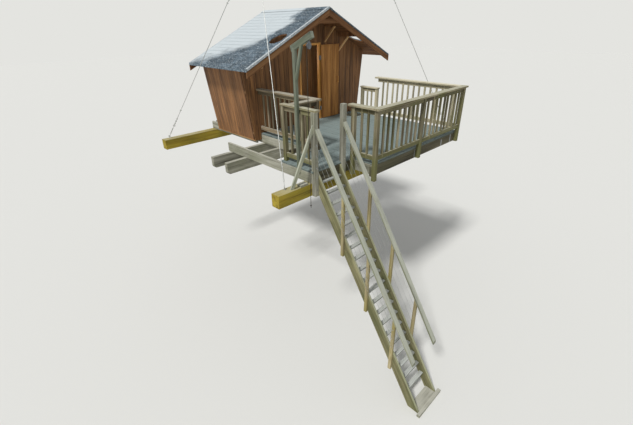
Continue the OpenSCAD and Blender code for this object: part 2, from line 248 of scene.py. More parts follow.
def cut_to(mesh: Mesh, *nodes: str) -> Mesh:
    """Keep what of a mesh lies inside the solids of some CAD nodes.

    Args:
        mesh: closed boards that reach past the solids.
        nodes: the CAD nodes whose solids do the cutting.

    Returns:
        The cut mesh, with grain on its cut ends too.
    """
    end_tone = 0.3
    done = []
    for name in nodes:
        solid = bpy.data.meshes.new("cutter")
        outward(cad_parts[name].data, solid, merge_mm=0.01)
        spots = [solid.vertices[loop.vertex_index].co.copy() for loop in solid.loops]
        mark(solid, spots, [end_tone] * len(spots))
        cutter = holder(solid, "cutter")
        board = holder(mesh.copy(), "boards")
        tool = board.modifiers.new("cut", "BOOLEAN")
        tool.operation = "INTERSECT"
        tool.solver = "EXACT"
        tool.object = cutter
        done.append(evaluated(board))
        bpy.data.objects.remove(cutter)
    return done[0] if len(done) == 1 else joined(done)


# Finishes


class Weather(Enum):
    """How much weather a surface has seen; it also sets how much painted top light it gets."""

    OPEN = 1
    SHELTERED = 0.35
    INSIDE = 0


@dataclass(frozen=True)
class Finish:
    """A finish. Its name says what the real material is and how its surface was made."""

    name: str

    def material(self) -> bpy.types.Material:
        """Make the material, the first time that it is asked for.

        Returns:
            The finish's one material.
        """
        material = bpy.data.materials.get(self.name)
        if material is None:
            material = bpy.data.materials.new(self.name)
            material.use_nodes = True
            tree = material.node_tree
            tree.nodes.clear()
            shader = add(tree, "ShaderNodeBsdfPrincipled", self.surface(tree))
            add(tree, "ShaderNodeOutputMaterial", {"Surface": shader})
        return material

    def surface(self, tree: Tree) -> dict[str, Any]:
        """Wire the surface in the material's tree, and return the shader's inputs by name."""
        raise NotImplementedError


# Patterns in timber, as cells a metre along the grain and twice across it.
# Growth lines hold on for 770 mm, and each finish gives their width.
LINES_ALONG = 1.3
# The figure of the log: bands 83 mm wide and 1.1 m long.
FIGURE = (0.9, 12, 12)
# A knot is looked for every 590 mm in strips of 110 mm.
KNOTS = (1.7, 9, 9)
# Drying cracks are hairlines 0.5 mm wide: they are drawn 3 mm wide and 385 mm long, to show.
CRACKS = (2.6, 150, 150)
# Weather comes in patches of 590 mm, and splashes reach 190 mm up from where moss ends.
PATCH = 1.7
SPLASH = 190


@dataclass(frozen=True)
class SawnTimber(Finish):
    """Sawn softwood. Growth lines run along each piece, and open faces that look up turn grey:
    bleaching, and painted light from above.
    """

    pale: str
    middle: str
    dark: str
    bleach_and_top_light: str
    algae: str
    weather: Weather = Weather.OPEN
    line_mm: float = 14
    knots: float = 0.5
    swing: float = 0.35
    roughness: float = 0.82
    moss_z: float | None = None

    def surface(self, tree: Tree) -> dict[str, Any]:
        """Wire figure, growth lines, knots, weather and drying cracks.

        Args:
            tree: the material's tree.

        Returns:
            The shader's inputs by name.
        """
        grain = add(tree, "ShaderNodeAttribute", attribute_name=GRAIN).outputs["Vector"]
        tone = add(tree, "ShaderNodeAttribute", attribute_name=TONE).outputs["Fac"]
        across = 1000 / self.line_mm
        line_grid, figure_grid, knot_grid, crack_grid = [
            add(tree, "ShaderNodeMapping", {"Vector": grain, "Scale": cells})
            for cells in ((LINES_ALONG, across, across), FIGURE, KNOTS, CRACKS)
        ]
        fine = {"Scale": 1, "Detail": 6, "Roughness": 0.66, "Distortion": 0.1}
        lines = add(tree, NOISE, {"Vector": line_grid, **fine})
        broad = {"Scale": 1, "Detail": 4, "Distortion": 0.3}
        figure = add(tree, NOISE, {"Vector": figure_grid, **broad})
        both = add(tree, MATH, {0: lines, 1: figure}, operation="ADD")
        stops = ((0, self.dark), (1, self.pale), (0.45, self.middle))
        wood = add(tree, RAMP, {"Fac": add(tree, RANGE, span(both, 0.72, 1.28))}, stops)
        # each piece comes from another part of the log: lighter or darker as a whole
        level = add(tree, RANGE, span(tone, 0, 1, 1 - self.swing, 1 + self.swing * 0.6))
        # knots are dark spots drawn long in the direction of the grain
        near = add(tree, "ShaderNodeTexVoronoi", {"Vector": knot_grid, "Scale": 1})
        knot = add(tree, RANGE, span(near, 0.07, 0.15, self.knots, 0))
        colour = layered(tree, wood, (1, level, "MULTIPLY"), (knot, linear(self.dark)))
        if self.weather is not Weather.INSIDE:
            colour = self.weathered(tree, colour)
        crack = add(tree, NOISE, {"Vector": crack_grid, "Scale": 1, "Detail": 2})
        slit = add(tree, RANGE, span(crack, 0.30, 0.37, 0.7, 0))
        colour = layered(tree, colour, (slit, linear(self.dark)))
        height = add(tree, MATH, {0: lines, 1: slit}, operation="SUBTRACT")
        # late wood is dense and a little smoother than the soft wood between
        rough = add(tree, RANGE, span(lines, 0, 1, self.roughness + 0.1, self.roughness - 0.1))
        # tool marks and raised grain are up to 3 mm deep
        relief = {"Strength": 0.5, "Distance": 3 * MM, "Height": height}
        look = {"Base Color": colour, "Roughness": rough, "Specular IOR Level": 0.25}
        return {**look, "Normal": add(tree, BUMP, relief)}

    def weathered(self, tree: Tree, colour: Socket) -> Socket:
        """Lighten the faces that look at the sky, as bleaching and as painted light from above, and
        let algae grow in damp patches.

        Args:
            tree: the material's tree.
            colour: the wood under the weather.

        Returns:
            The weathered colour.
        """
        place = add(tree, COORD).outputs["Object"]
        normal = add(tree, "ShaderNodeNewGeometry").outputs["Normal"]
        look = add(tree, SPLIT, {0: normal}).outputs["Z"]
        wet = self.weather.value
        # faces that look up take a lighter colour: real bleaching, and painted light falling on the
        # tops
        sky = add(tree, RANGE, span(look, 0.12, 0.6, 0, wet))
        patch = add(tree, NOISE, {"Vector": place, "Scale": PATCH, "Detail": 4, "Roughness": 0.6})
        worn = add(tree, RANGE, span(patch, 0.2, 0.5))
        share = add(tree, MATH, {0: sky, 1: worn}, operation="MULTIPLY")
        damp = add(tree, RANGE, span(patch, 0.42, 0.7, 0, 0.75 * wet))
        if self.moss_z is not None:
            # splashes from the deck keep the feet of the posts and the low rails green
            z = add(tree, SPLIT, {0: place}).outputs["Z"]
            low, high = self.moss_z * MM, (self.moss_z + SPLASH) * MM
            foot = add(tree, RANGE, span(z, low, high, 0.72, 0))
            damp = add(tree, MATH, {0: damp, 1: foot}, operation="MAXIMUM")
        colour = layered(tree, colour, (damp, linear(self.algae)))
        top = layered(tree, colour, (0.75, linear(self.bleach_and_top_light)))
        return layered(tree, colour, (share, top))


@dataclass(frozen=True)
class MineralFelt(Finish):
    """Bitumen shingles pressed full of slate granules, which show as light and dark specks."""

    slate: str
    light: str
    dark: str
    # the colour of lichen, and of the painted sunlight on the upper roof
    lichen_and_sunlit: str
    # real granules are 1 to 2 mm wide; they are drawn at 9 mm to show in the render
    granule_mm: float = 9
    # lichen and bald spots are about 30 mm wide, the clouds of painted sunlight 770 mm
    crusts: float = 33
    sun_patch_scale: float = 1.3

    def surface(self, tree: Tree) -> dict[str, Any]:
        """Wire granules, the tone of each tab, lichen, bald spots and the field of painted
        sunlight.

        Args:
            tree: the material's tree.

        Returns:
            The shader's inputs by name.
        """
        place = add(tree, COORD).outputs["Object"]
        tone = add(tree, "ShaderNodeAttribute", attribute_name=TONE).outputs["Fac"]
        specks = add(tree, NOISE, {"Vector": place, "Scale": 1000 / self.granule_mm, "Detail": 2})
        stops = ((0.34, self.dark), (0.68, self.light), (0.5, self.slate))
        ramp = add(tree, RAMP, {"Fac": specks}, stops)
        level = add(tree, RANGE, span(tone, 0, 1, 0.66, 1.26))
        spots = {"Vector": place, "Scale": self.crusts, "Detail": 3, "Roughness": 0.7}
        crust = add(tree, NOISE, spots)
        lichen = add(tree, RANGE, span(crust, 0.55, 0.66, 0, 0.6))
        bald = add(tree, RANGE, span(crust, 0.33, 0.44, 0.65, 0))
        # pale serves the lichen and the painted sunlight on the upper roof
        pale, painted_sunlight = linear(self.lichen_and_sunlit), self.painted_sunlight(tree, place)
        colour = layered(tree, ramp, (1, level, "MULTIPLY"), (lichen, pale))
        colour = layered(tree, colour, (bald, linear(self.dark)), (painted_sunlight, pale))
        relief = {"Strength": 0.5, "Distance": 2 * MM, "Height": specks}
        look = {"Base Color": colour, "Roughness": 0.88, "Specular IOR Level": 0.3}
        return {**look, "Normal": add(tree, BUMP, relief)}

    def painted_sunlight(self, tree: Tree, place: Socket) -> Node:
        """Find the field of painted sunlight: high up, but not the strip behind the rake, left dark
        as painted shade.

        Args:
            tree: the material's tree.
            place: the place on the roof, in metres.

        Returns:
            How far each spot is painted sunlit.
        """
        # the border of the painted sunlight climbs towards the gable, and clouds blur it
        back_slant, height_blur, depth_blur = 0.256, 0.6, 1.5
        mist = {"Vector": place, "Scale": self.sun_patch_scale, "Detail": 5, "Roughness": 0.6}
        cloud = add(tree, NOISE, mist)
        slant = {0: place, 1: (0, back_slant, 1)}
        climb = add(tree, VECTOR, slant, operation="DOT_PRODUCT").outputs["Value"]
        y = add(tree, SPLIT, {0: place}).outputs["Y"]
        shares = []
        for blur, base, field in (
            (height_blur, climb, (2.66, 2.84, 0, 0.85)),
            (depth_blur, y, (1.26, 1.52)),
        ):
            total = add(tree, MATH, {0: cloud, 1: blur, 2: base}, operation="MULTIPLY_ADD")
            shares.append(add(tree, RANGE, span(total, *field)))
        return add(tree, MATH, {0: shares[0], 1: shares[1]}, operation="MULTIPLY")


@dataclass(frozen=True)
class ZincSteel(Finish):
    """Hot-dip galvanised steel. It is dull, with a faint crystal pattern and whiter spots."""

    base: str
    spot: str
    roughness: float = 0.42
    crystal_mm: float = 8
    # white rust comes in spots of 38 mm
    rust: float = 26

    def surface(self, tree: Tree) -> dict[str, Any]:
        """Wire the crystals into the roughness and the white rust into the colour.

        Args:
            tree: the material's tree.

        Returns:
            The shader's inputs by name.
        """
        place = add(tree, COORD).outputs["Object"]
        cell = add(tree, "ShaderNodeTexVoronoi", {"Vector": place, "Scale": 1000 / self.crystal_mm})
        rough = add(tree, RANGE, span(cell, 0, 1, self.roughness - 0.08, self.roughness + 0.2))
        cloud = add(tree, NOISE, {"Vector": place, "Scale": self.rust, "Detail": 3})
        colour = layered(tree, linear(self.base), (cloud, linear(self.spot)))
        return {"Base Color": colour, "Roughness": rough, "Metallic": 0.85}


@dataclass(frozen=True)
class LaidRope(Finish):
    """Laid fibre rope. It is matt, fuzzy and darker between the strands."""

    fibre: str
    shade: str
    # fibres are hair thin; their bundles are drawn 2.4 mm wide to show
    bundles: float = 420

    def surface(self, tree: Tree) -> dict[str, Any]:
        """Wire the fibres with the dirt between them.

        Args:
            tree: the material's tree.

        Returns:
            The shader's inputs by name.
        """
        place = add(tree, COORD).outputs["Object"]
        fibres = add(tree, NOISE, {"Vector": place, "Scale": self.bundles, "Detail": 3})
        colour = layered(tree, linear(self.shade), (fibres, linear(self.fibre)))
        relief = {"Strength": 0.6, "Distance": MM, "Height": fibres}
        look = {"Base Color": colour, "Roughness": 0.95, "Specular IOR Level": 0.15}
        return {**look, "Normal": add(tree, BUMP, relief)}


# Sawn spruce, years in the open: silver grey over olive, with dark growth lines.
GREY_SPRUCE = SawnTimber(
    "spruce_sawn_weathered", "#b4b2a3", "#918f81", "#5a584c", "#bcbaac", "#777960", swing=0.25
)
# The rims under the deck boards: painted shade, brown-black and dull, for the deep shade under the
# deck's edge.
SHADED_RIM_SPRUCE = SawnTimber(
    "spruce_sawn_painted_shade", "#756f5a", "#57523f", "#36322a", "#8f8b78", "#52553a", swing=0.25
)
# The hoist stands in the drip of the eaves: an even grey-green film.
GREEN_SPRUCE = SawnTimber(
    "spruce_sawn_green_grey", "#888c7c", "#686e60", "#43483e", "#9da193", "#5b624c", swing=0.3
)
# Pressure-treated pine: the salts give a clear yellow-green, with wide growth lines.
TREATED_PINE = SawnTimber(
    "pine_pressure_treated", "#b39e3a", "#96822b", "#6a5820", "#b5ad88", "#807b33",
    line_mm=22, knots=0.4, swing=0.12,
)
# Planed railings: each stick weathers its own way, from straw to brown, and the feet are mossy.
RAIL_SPRUCE = SawnTimber(
    "spruce_planed_weathered", "#aea78e", "#877d65", "#4f4631", "#bab7a2", "#67693b",
    swing=0.52, moss_z=430,
)
# The railings by the cabin stand in the drip of its stained boards: browner and darker.
BROWN_SPRUCE = SawnTimber(
    "spruce_planed_brown_grey", "#a99b84", "#80725c", "#4a3f30", "#b4b0a1", "#686249", swing=0.5
)
# The far railings lie in full sun: a lighter copy of the railing timber, painted sunlight over real
# bleaching to the colour of bone.
PALE_SPRUCE = SawnTimber(
    "spruce_planed_pale_painted_sunlit", "#dad1b6", "#c0b69b", "#8a8068", "#ddd7c1", "#a8a280", swing=0.3
)
# Decking, trodden and rained on: blue-grey, with little left of the figure.
DECK_SPRUCE = SawnTimber(
    "spruce_decking_weathered", "#8d9997", "#727e7b", "#525a58", "#869391", "#70766a", swing=0.3
)
# Stringers, low down: darker olive over the grey, partly a real olive film and partly painted shade
# for their shaded inner faces.
STAIR_SPRUCE = SawnTimber(
    "spruce_stringer_weathered", "#a29d78", "#7b7656", "#4c482f", "#b4b696", "#5f6340", swing=0.2
)
# Handrails, rubbed by hands: an even pale grey-green.
HAND_SPRUCE = SawnTimber(
    "spruce_handrail_weathered", "#b1b19f", "#8d8e7d", "#595a48", "#b9bbae", "#7b8063", swing=0.2
)
# The posts of the stair keep a warm straw colour with yellow algae.
POST_SPRUCE = SawnTimber(
    "spruce_stair_post_weathered", "#bfb18d", "#a09470", "#6a5f42", "#c1b799", "#8f8442", swing=0.25
)
# Treads, scoured by boots: the palest grey of all.
TREAD_SPRUCE = SawnTimber(
    "spruce_tread_worn", "#c3c4bd", "#a7a9a3", "#6d7068", "#c6c8c2", "#8d9186", swing=0.25
)
# Cedar boards under a red-brown stain: half gloss, with the figure showing through.
STAINED_BOARD = SawnTimber(
    "cedar_boards_stained", "#a8784a", "#7d5838", "#4a311e", "#9d7c58", "#785837",
    Weather.SHELTERED, line_mm=17, knots=0.8, swing=0.26, roughness=0.62,
)
# Oiled cedar of the door leaf, out of the rain: still orange, and a quarter lighter as painted
# light for the light that reaches it under the porch.
DOOR_BOARD = SawnTimber(
    "cedar_door_boards_oiled", "#e0a360", "#bd8349", "#7a5029", "#c49a68", "#9c7040",
    Weather.INSIDE, swing=0.25,
)
# Bare pine indoors: honey brown, with strong knots.
BARE_BOARD = SawnTimber(
    "pine_boards_bare", "#b08a5c", "#94704a", "#5e4229", "#a58c6a", "#7d6443",
    Weather.INSIDE, knots=0.7,
)
# Planed pine lining: fresh and pale, paler still as painted light so that the inside seen through
# the doorway looks lit.
LINING = SawnTimber(
    "pine_lining_planed", "#e3c08f", "#cfa674", "#98724a", "#d6b88d", "#b39569",
    Weather.INSIDE, knots=0.7,
)
# Roof timber under brown stain, worn thin: dull and a little patchy.
ROOF_TIMBER = SawnTimber(
    "pine_stained_brown", "#96704a", "#7a5333", "#4b3120", "#927b61", "#694c31",
    Weather.SHELTERED, knots=0.6,
)
# New cedar trim, planed and oiled: orange with a soft gloss, painted extra bright as a highlight
# where the jamb catches the light.
CEDAR_TRIM = SawnTimber(
    "cedar_planed_oiled", "#f0b567", "#dd9d50", "#b07a3a", "#e0b176", "#c8924a",
    Weather.INSIDE, swing=0.1, roughness=0.5,
)
# Slate-granule shingles: a rough blue-grey that sparkles, with a field high on the back of the roof
# painted nearly white as sunlight.
SLATE_FELT = MineralFelt("bitumen_shingle_slate", "#4b5b65", "#8694a0", "#252f37", "#cdd4d6")
# Felt folded over the left rake: a pale, coarse edge, painted highlight along the sunlit rake.
HIGHLIGHT_FELT = MineralFelt(
    "bitumen_felt_painted_highlight_edge", "#b9c0c3", "#e0e3e3", "#7b858a", "#d9dddd", granule_mm=16
)
# Dipped zinc: dull silver grey with faint crystals.
GALVANISED = ZincSteel("steel_galvanised", "#8d9092", "#b4b7b8")
# Drawn and stranded wire, still bright.
WIRE = ZincSteel("steel_wire_rope", "#a7a9a6", "#c9cac6", 0.38, 4)
# The forged block has tarnished to a dark grey.
BLOCK_STEEL = ZincSteel("steel_block_tarnished", "#5a5e63", "#84888c", 0.5, 10)
# Laid polyester, dark with dirt and dry to the eye.
DARK_ROPE = LaidRope("rope_laid_polyester", "#5a5348", "#2a2622")


def dress(node: str, finish: Finish) -> None:
    """Give a CAD node's own solid a finish.

    Args:
        node: the node, whose shape stays.
        finish: its finish.
    """
    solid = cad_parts[node]
    solid.data.materials.clear()
    solid.data.materials.append(finish.material())


# Timber in mesh code

# How far apart in the log two pieces may be cut, in metres.
LOG_SPAN = 40


def planed(wide: float, deep: float, chamfer: float = 2.5) -> list[Pair]:
    """Return a rectangular section with eased corners.

    Args:
        wide: size across, mm.
        deep: size in the other direction, mm.
        chamfer: how much of each corner is eased, mm.

    Returns:
        Corner points, counter-clockwise.
    """
    x, y, c = wide / 2, deep / 2, chamfer
    right = [(x - c, -y), (x, -y + c), (x, y - c), (x - c, y)]
    return right + [(-u, -v) for u, v in right]


class Sticks:
    """Gathers straight members and plates, and turns them into one mesh of closed solids."""

    def __init__(self, seed: int) -> None:
        """Start an empty set of members.

        Args:
            seed: fixes the tone of each member.
        """
        self.chance = random.Random(seed)
        self.points: list[Vector] = []
        self.faces: list[list[int]] = []
        self.grain: list[Vector] = []
        self.tone: list[float] = []

    def close(
        self, rings: Sequence[Sequence[Vector]], axes: Sequence[Vector], tone: float | None
    ) -> None:
        """Add a closed prism between two rings of points.

        Args:
            rings: the first and the last ring, in millimetres.
            axes: the direction of the grain and the two directions across it.
            tone: its tone, or None for a chance one.
        """
        start, n = len(self.points), len(rings[0])
        shift = Vector([self.chance.uniform(0, LOG_SPAN) for _ in axes])
        shade = self.chance.random() if tone is None else tone
        for ring in rings:
            for p in ring:
                self.points.append(p * MM)
                self.grain.append(Vector([p.dot(a) * MM for a in axes]) + shift)
                self.tone.append(shade)
        self.faces.append([start + i for i in reversed(range(n))])
        self.faces.append([start + n + i for i in range(n)])
        for i in range(n):
            j = (i + 1) % n
            self.faces.append([start + i, start + j, start + n + j, start + n + i])

    def stick(
        self, a: Floats, b: Floats, section: Sequence[Pair], up: Vector = UP,
        cut_a: Floats | None = None, cut_b: Floats | None = None, tone: float | None = None,
    ) -> None:
        """Add a straight member of one section.

        Args:
            a: middle of its start, mm.
            b: middle of its end, mm.
            section: corner points, across and up, mm.
            up: the direction that the section's second number points to.
            cut_a: normal of the plane that cuts the start, or None for a square cut.
            cut_b: normal of the plane that cuts the end.
            tone: its tone, or None for a chance one.
        """
        first, last = Vector(a), Vector(b)
        along = (last - first).normalized()
        side = along.cross(up).normalized()
        top = side.cross(along)
        rings = []
        for base, cut in ((first, cut_a), (last, cut_b)):
            face = Vector(cut) if cut else along
            ring = []
            for u, v in section:
                p = base + side * u + top * v
                ring.append(p - along * ((p - base).dot(face) / along.dot(face)))
            rings.append(ring)
        self.close(rings, (along, side, top), tone)

    def box(
        self, x0: float, x1: float, y0: float, y1: float, z0: float, z1: float,
        tone: float | None = None,
    ) -> None:
        """Add a member between two corners, with the grain along its longest side.

        Args:
            x0, x1: where it starts and ends along X, mm.
            y0, y1: where it starts and ends along Y.
            z0, z1: its foot and its top.
            tone: its tone, or None for a chance one.
        """
        low, high = Vector((x0, y0, z0)), Vector((x1, y1, z1))
        size = high - low
        mid = (low + high) / 2
        k = max(range(3), key=lambda i: size[i])
        a, b = mid.copy(), mid.copy()
        a[k], b[k] = low[k], high[k]
        up = ALONG_Y if k == 2 else UP
        wide, deep = [size[i] for i in range(3) if i != k]
        chamfer = min(2.5, min(wide, deep) * 0.15)
        self.stick(a, b, planed(wide, deep, chamfer), up, tone=tone)

    def plate(
        self, outline: Sequence[Point], push: Floats, grain: Floats, tone: float | None = None
    ) -> None:
        """Add a plate of any outline.

        Args:
            outline: its corners in one plane, mm.
            push: its thickness as a vector, mm.
            grain: the direction of the grain.
            tone: its tone, or None for a chance one.
        """
        near = [Vector(p) for p in outline]
        far = [p + Vector(push) for p in near]
        along, thick = Vector(grain).normalized(), Vector(push).normalized()
        self.close((near, far), (along, thick.cross(along), thick), tone)

    def mesh(self) -> Mesh:
        """Make one mesh of all members.

        Returns:
            The mesh, with outward faces, grain and tone.
        """
        made = bpy.data.meshes.new("sticks")
        made.from_pydata(self.points, [], self.faces)
        corners = [loop.vertex_index for loop in made.loops]
        mark(made, [self.grain[i] for i in corners], [self.tone[i] for i in corners])
        outward(made, made)
        return made


# Geometry node trees


class NodeTool:
    """A geometry node tree that is built once and grown into plain meshes."""

    name = "tool"
    asks: dict[str, str] = {}

    def __init__(self) -> None:
        """Make the tree: its named inputs, its own nodes, Realize Instances and Set Material."""
        self.tree = tree = bpy.data.node_groups.new(self.name, "GeometryNodeTree")
        for way in ("OUTPUT", "INPUT"):
            tree.interface.new_socket("Geometry", in_out=way, socket_type="NodeSocketGeometry")
        for name, kind in {**self.asks, "Material": "Material"}.items():
            tree.interface.new_socket(name, in_out="INPUT", socket_type=f"NodeSocket{kind}")
        given = add(tree, "NodeGroupInput").outputs
        real = add(tree, REALIZE, {0: self.wire(tree, given)})
        dressed = add(tree, "GeometryNodeSetMaterial", {0: real, "Material": given["Material"]})
        add(tree, "NodeGroupOutput", {0: dressed})

    def wire(self, tree: Tree, given: Any) -> Node:
        """Add the tool's own nodes, fed by the given inputs, and return their geometry."""
        raise NotImplementedError

    def grow(self, source: Mesh, finish: Finish, **values: Any) -> Mesh:
        """Run the tree on a mesh and return the result as a plain mesh.

        Args:
            source: what the tree starts from.
            finish: the finish of the result.
            values: the tree's inputs by name, lengths in metres.

        Returns:
            The new mesh.
        """
        work = holder(source)
        modifier = work.modifiers.new("grow", "NODES")
        modifier.node_group = self.tree
        values["Material"] = finish.material()
        for item in self.tree.interface.items_tree:
            if item.item_type == "SOCKET" and item.in_out == "INPUT" and item.name in values:
                modifier[item.identifier] = values[item.name]
        return evaluated(work)


class RowTool(NodeTool):
    """Repeats a board, baluster or shingle in one or two directions, each a little different."""

    name = "row_of_pieces"
    asks = {
        "Count": "Int", "Step": "Vector", "Rows": "Int", "Row Step": "Vector",
        "Stagger": "Vector", "Play": "Vector", "Twist": "Vector", "Seed": "Int",
    }

    def wire(self, tree: Tree, given: Any) -> Node:
        """Lay out points, put the piece on each, and give each its own grain and tone.

        Args:
            tree: the tool's tree.
            given: the tree's inputs by name.

        Returns:
            The geometry of all pieces.
        """
        seed = {"Seed": given["Seed"]}
        next_seed = add(tree, MATH, {0: given["Seed"], 1: 7}, operation="ADD")
        vectors = {"data_type": "FLOAT_VECTOR"}
        run = "GeometryNodeMeshLine"
        line = add(tree, run, {"Count": given["Count"], "Offset": given["Step"]})
        rows = add(tree, run, {"Count": given["Rows"], "Offset": given["Row Step"]})
        grid = add(tree, ON_POINTS, {"Points": rows, "Instance": line})
        points = add(tree, REALIZE, {0: grid})
        # every other row is staggered
        index = add(tree, "GeometryNodeInputIndex")
        ratio = add(tree, MATH, {0: index, 1: given["Count"]}, operation="DIVIDE")
        row_number = add(tree, MATH, {0: ratio}, operation="FLOOR")
        odd = add(tree, MATH, {0: row_number, 1: 2}, operation="MODULO")
        stagger = add(tree, VECTOR, {0: given["Stagger"], "Scale": odd}, operation="SCALE")
        # each piece is shifted and turned by chance, as far as Play and Twist allow
        chances = []
        for name, number in (("Play", seed), ("Twist", {"Seed": next_seed})):
            less = add(tree, VECTOR, {0: given[name], "Scale": -1}, operation="SCALE")
            chances.append(add(tree, RANDOM, {0: less, 1: given[name], **number}, **vectors))
        shift = add(tree, VECTOR, {0: stagger, 1: chances[0]}, operation="ADD")
        placed = add(tree, "GeometryNodeSetPosition", {0: points, "Offset": shift})
        pieces_in = {"Points": placed, "Instance": given["Geometry"], "Rotation": chances[1]}
        pieces = add(tree, ON_POINTS, pieces_in)
        # each piece carries its number, which picks its own grain and tone
        store = "GeometryNodeStoreNamedAttribute"
        number_in = {0: pieces, "Name": "piece", "Value": index}
        numbered = add(tree, store, number_in, data_type="INT", domain="INSTANCE")
        real = add(tree, REALIZE, {0: numbered})
        piece = add(tree, READ, {"Name": "piece"}, data_type="INT")
        grain = add(tree, READ, {"Name": GRAIN}, **vectors)
        apart_in = {0: (0, 0, 0), 1: (LOG_SPAN,) * 3, "ID": piece, **seed}
        apart = add(tree, RANDOM, apart_in, **vectors)
        own = add(tree, VECTOR, {0: grain, 1: apart}, operation="ADD")
        lined = add(tree, store, {0: real, "Name": GRAIN, "Value": own}, domain="CORNER", **vectors)
        shade_in = {2: 0, 3: 1, "ID": piece, "Seed": next_seed}
        shade = add(tree, RANDOM, shade_in, data_type="FLOAT").outputs[1]
        toned_in = {0: lined, "Name": TONE, "Value": shade}
        toned = add(tree, store, toned_in, data_type="FLOAT", domain="CORNER")
        return add(tree, "GeometryNodeRemoveAttribute", {0: toned, "Name": "piece"})


class HeadTool(NodeTool):
    """Sets a round or hexagonal head on each point, square to the way that the point looks."""

    name = "heads_on_points"
    asks = {"Sides": "Int", "Radius": "Float", "Height": "Float"}

    def wire(self, tree: Tree, given: Any) -> Node:
        """Put a short prism on each point, turned to the point's own axis.

        Args:
            tree: the tool's tree.
            given: the tree's inputs by name.

        Returns:
            The geometry of all heads.
        """
        size = {"Vertices": given["Sides"], "Radius": given["Radius"], "Depth": given["Height"]}
        head = add(tree, "GeometryNodeMeshCylinder", size)
        axis = add(tree, READ, {"Name": "axis"}, data_type="FLOAT_VECTOR")
        turn = add(tree, "FunctionNodeAlignRotationToVector", {"Vector": axis}, axis="Z")
        heads_in = {"Points": given["Geometry"], "Instance": head, "Rotation": turn}
        return add(tree, ON_POINTS, heads_in)


class RopeTool(NodeTool):
    """Sweeps a lobed section along a path and twists it: the strands of a laid rope."""

    name = "laid_rope"
    asks = {"Radius": "Float", "Strands": "Int", "Lay": "Float", "Step": "Float", "Corners": "Int"}

    def wire(self, tree: Tree, given: Any) -> Node:
        """Shape the section, twist the path by the lay length, and sweep.

        Args:
            tree: the tool's tree.
            given: the tree's inputs by name.

        Returns:
            The geometry of the rope.
        """
        # between two strands the section falls in to 0.8 of its radius
        mean, swell = 0.9, 0.1
        path = add(tree, "GeometryNodeMeshToCurve", {0: given["Geometry"]})
        steps = {0: path, "Length": given["Step"]}
        fine = add(tree, "GeometryNodeResampleCurve", steps, mode="LENGTH")
        along = add(tree, "GeometryNodeSplineParameter").outputs["Length"]
        turns = add(tree, MATH, {0: along, 1: given["Lay"]}, operation="DIVIDE")
        tilt = add(tree, MATH, {0: turns, 1: math.tau}, operation="MULTIPLY")
        twisted = add(tree, "GeometryNodeSetCurveTilt", {0: fine, "Tilt": tilt})
        ring_in = {"Resolution": given["Corners"], "Radius": given["Radius"]}
        ring = add(tree, "GeometryNodeCurvePrimitiveCircle", ring_in)
        about = add(tree, "GeometryNodeSplineParameter").outputs["Factor"]
        lobes = add(tree, MATH, {0: about, 1: given["Strands"]}, operation="MULTIPLY")
        angle = add(tree, MATH, {0: lobes, 1: math.tau}, operation="MULTIPLY")
        wave = add(tree, MATH, {0: angle}, operation="COSINE")
        bulge = add(tree, MATH, {0: wave, 1: swell, 2: mean}, operation="MULTIPLY_ADD")
        where = add(tree, "GeometryNodeInputPosition")
        lobed = add(tree, VECTOR, {0: where, "Scale": bulge}, operation="SCALE")
        section = add(tree, "GeometryNodeSetPosition", {0: ring, "Position": lobed})
        sweep = {"Curve": twisted, "Profile Curve": section, "Fill Caps": True}
        tube = add(tree, "GeometryNodeCurveToMesh", sweep)
        return add(tree, "GeometryNodeSetShadeSmooth", {0: tube})


ROW = RowTool()
HEADS = HeadTool()
ROPES = RopeTool()


def row(
    piece: Sticks, finish: Finish, count: int, step: Point, rows: int = 1,
    row_step: Point = (0, 0, 0), stagger: Point = (0, 0, 0), play: Point = (0, 0, 0),
    twist: Point = (0, 0, 0), seed: int = 1,
) -> Mesh:
    """Repeat a piece, each with its own grain, tone and a little play.

    Args:
        piece: the members that are repeated, in their first place.
        finish: its finish.
        count: how many stand in a row.
        step: from one to the next, mm.
        rows: how many rows.
        row_step: from one row to the next, mm.
        stagger: the shift of every other row, mm.
        play: the most that a piece is off its place, mm.
        twist: the most that a piece is turned about each axis, degrees.
        seed: fixes the chance.

    Returns:
        The whole row as one mesh.
    """
    lengths = {"Step": step, "Row Step": row_step, "Stagger": stagger, "Play": play}
    values = {name: Vector(length) * MM for name, length in lengths.items()}
    values["Twist"] = Vector([math.radians(t) for t in twist])
    return ROW.grow(piece.mesh(), finish, Count=count, Rows=rows, Seed=seed, **values)


def heads(
    points: Sequence[Point], axis: Point, radius: float, height: float, sides: int = 8
) -> Mesh:
    """Set screw or bolt heads on points.

    Args:
        points: the middles of the heads, mm.
        axis: the direction that the heads look to.
        radius: the radius of a head, mm.
        height: its height, mm.
        sides: its corners: 6 for a bolt.

    Returns:
        The heads as one mesh in zinc-plated steel.
    """
    mesh = bpy.data.meshes.new("points")
    mesh.from_pydata(scaled(points), [], [])
    layer = mesh.attributes.new("axis", "FLOAT_VECTOR", "POINT")
    layer.data.foreach_set("vector", list(axis) * len(points))
    return HEADS.grow(mesh, GALVANISED, Sides=sides, Radius=radius * MM, Height=height * MM)


def laid(
    path: Sequence[Floats], finish: Finish, radius: float, strands: int, lay: float, step: float,
    corners: int,
) -> Mesh:
    """Make a rope along a path.

    Args:
        path: the points that its middle follows, mm.
        finish: its finish.
        radius: its outer radius, mm.
        strands: how many strands show round it.
        lay: the length of one turn of the strands, mm.
        step: the length of one ring of faces, mm.
        corners: the corners of the section.

    Returns:
        One closed tube.
    """
    mesh = bpy.data.meshes.new("path")
    mesh.from_pydata(scaled(path), [(i, i + 1) for i in range(len(path) - 1)], [])
    lengths = {"Radius": radius * MM, "Lay": lay * MM, "Step": step * MM}
    return ROPES.grow(mesh, finish, Strands=strands, Corners=corners, **lengths)


# The tree house


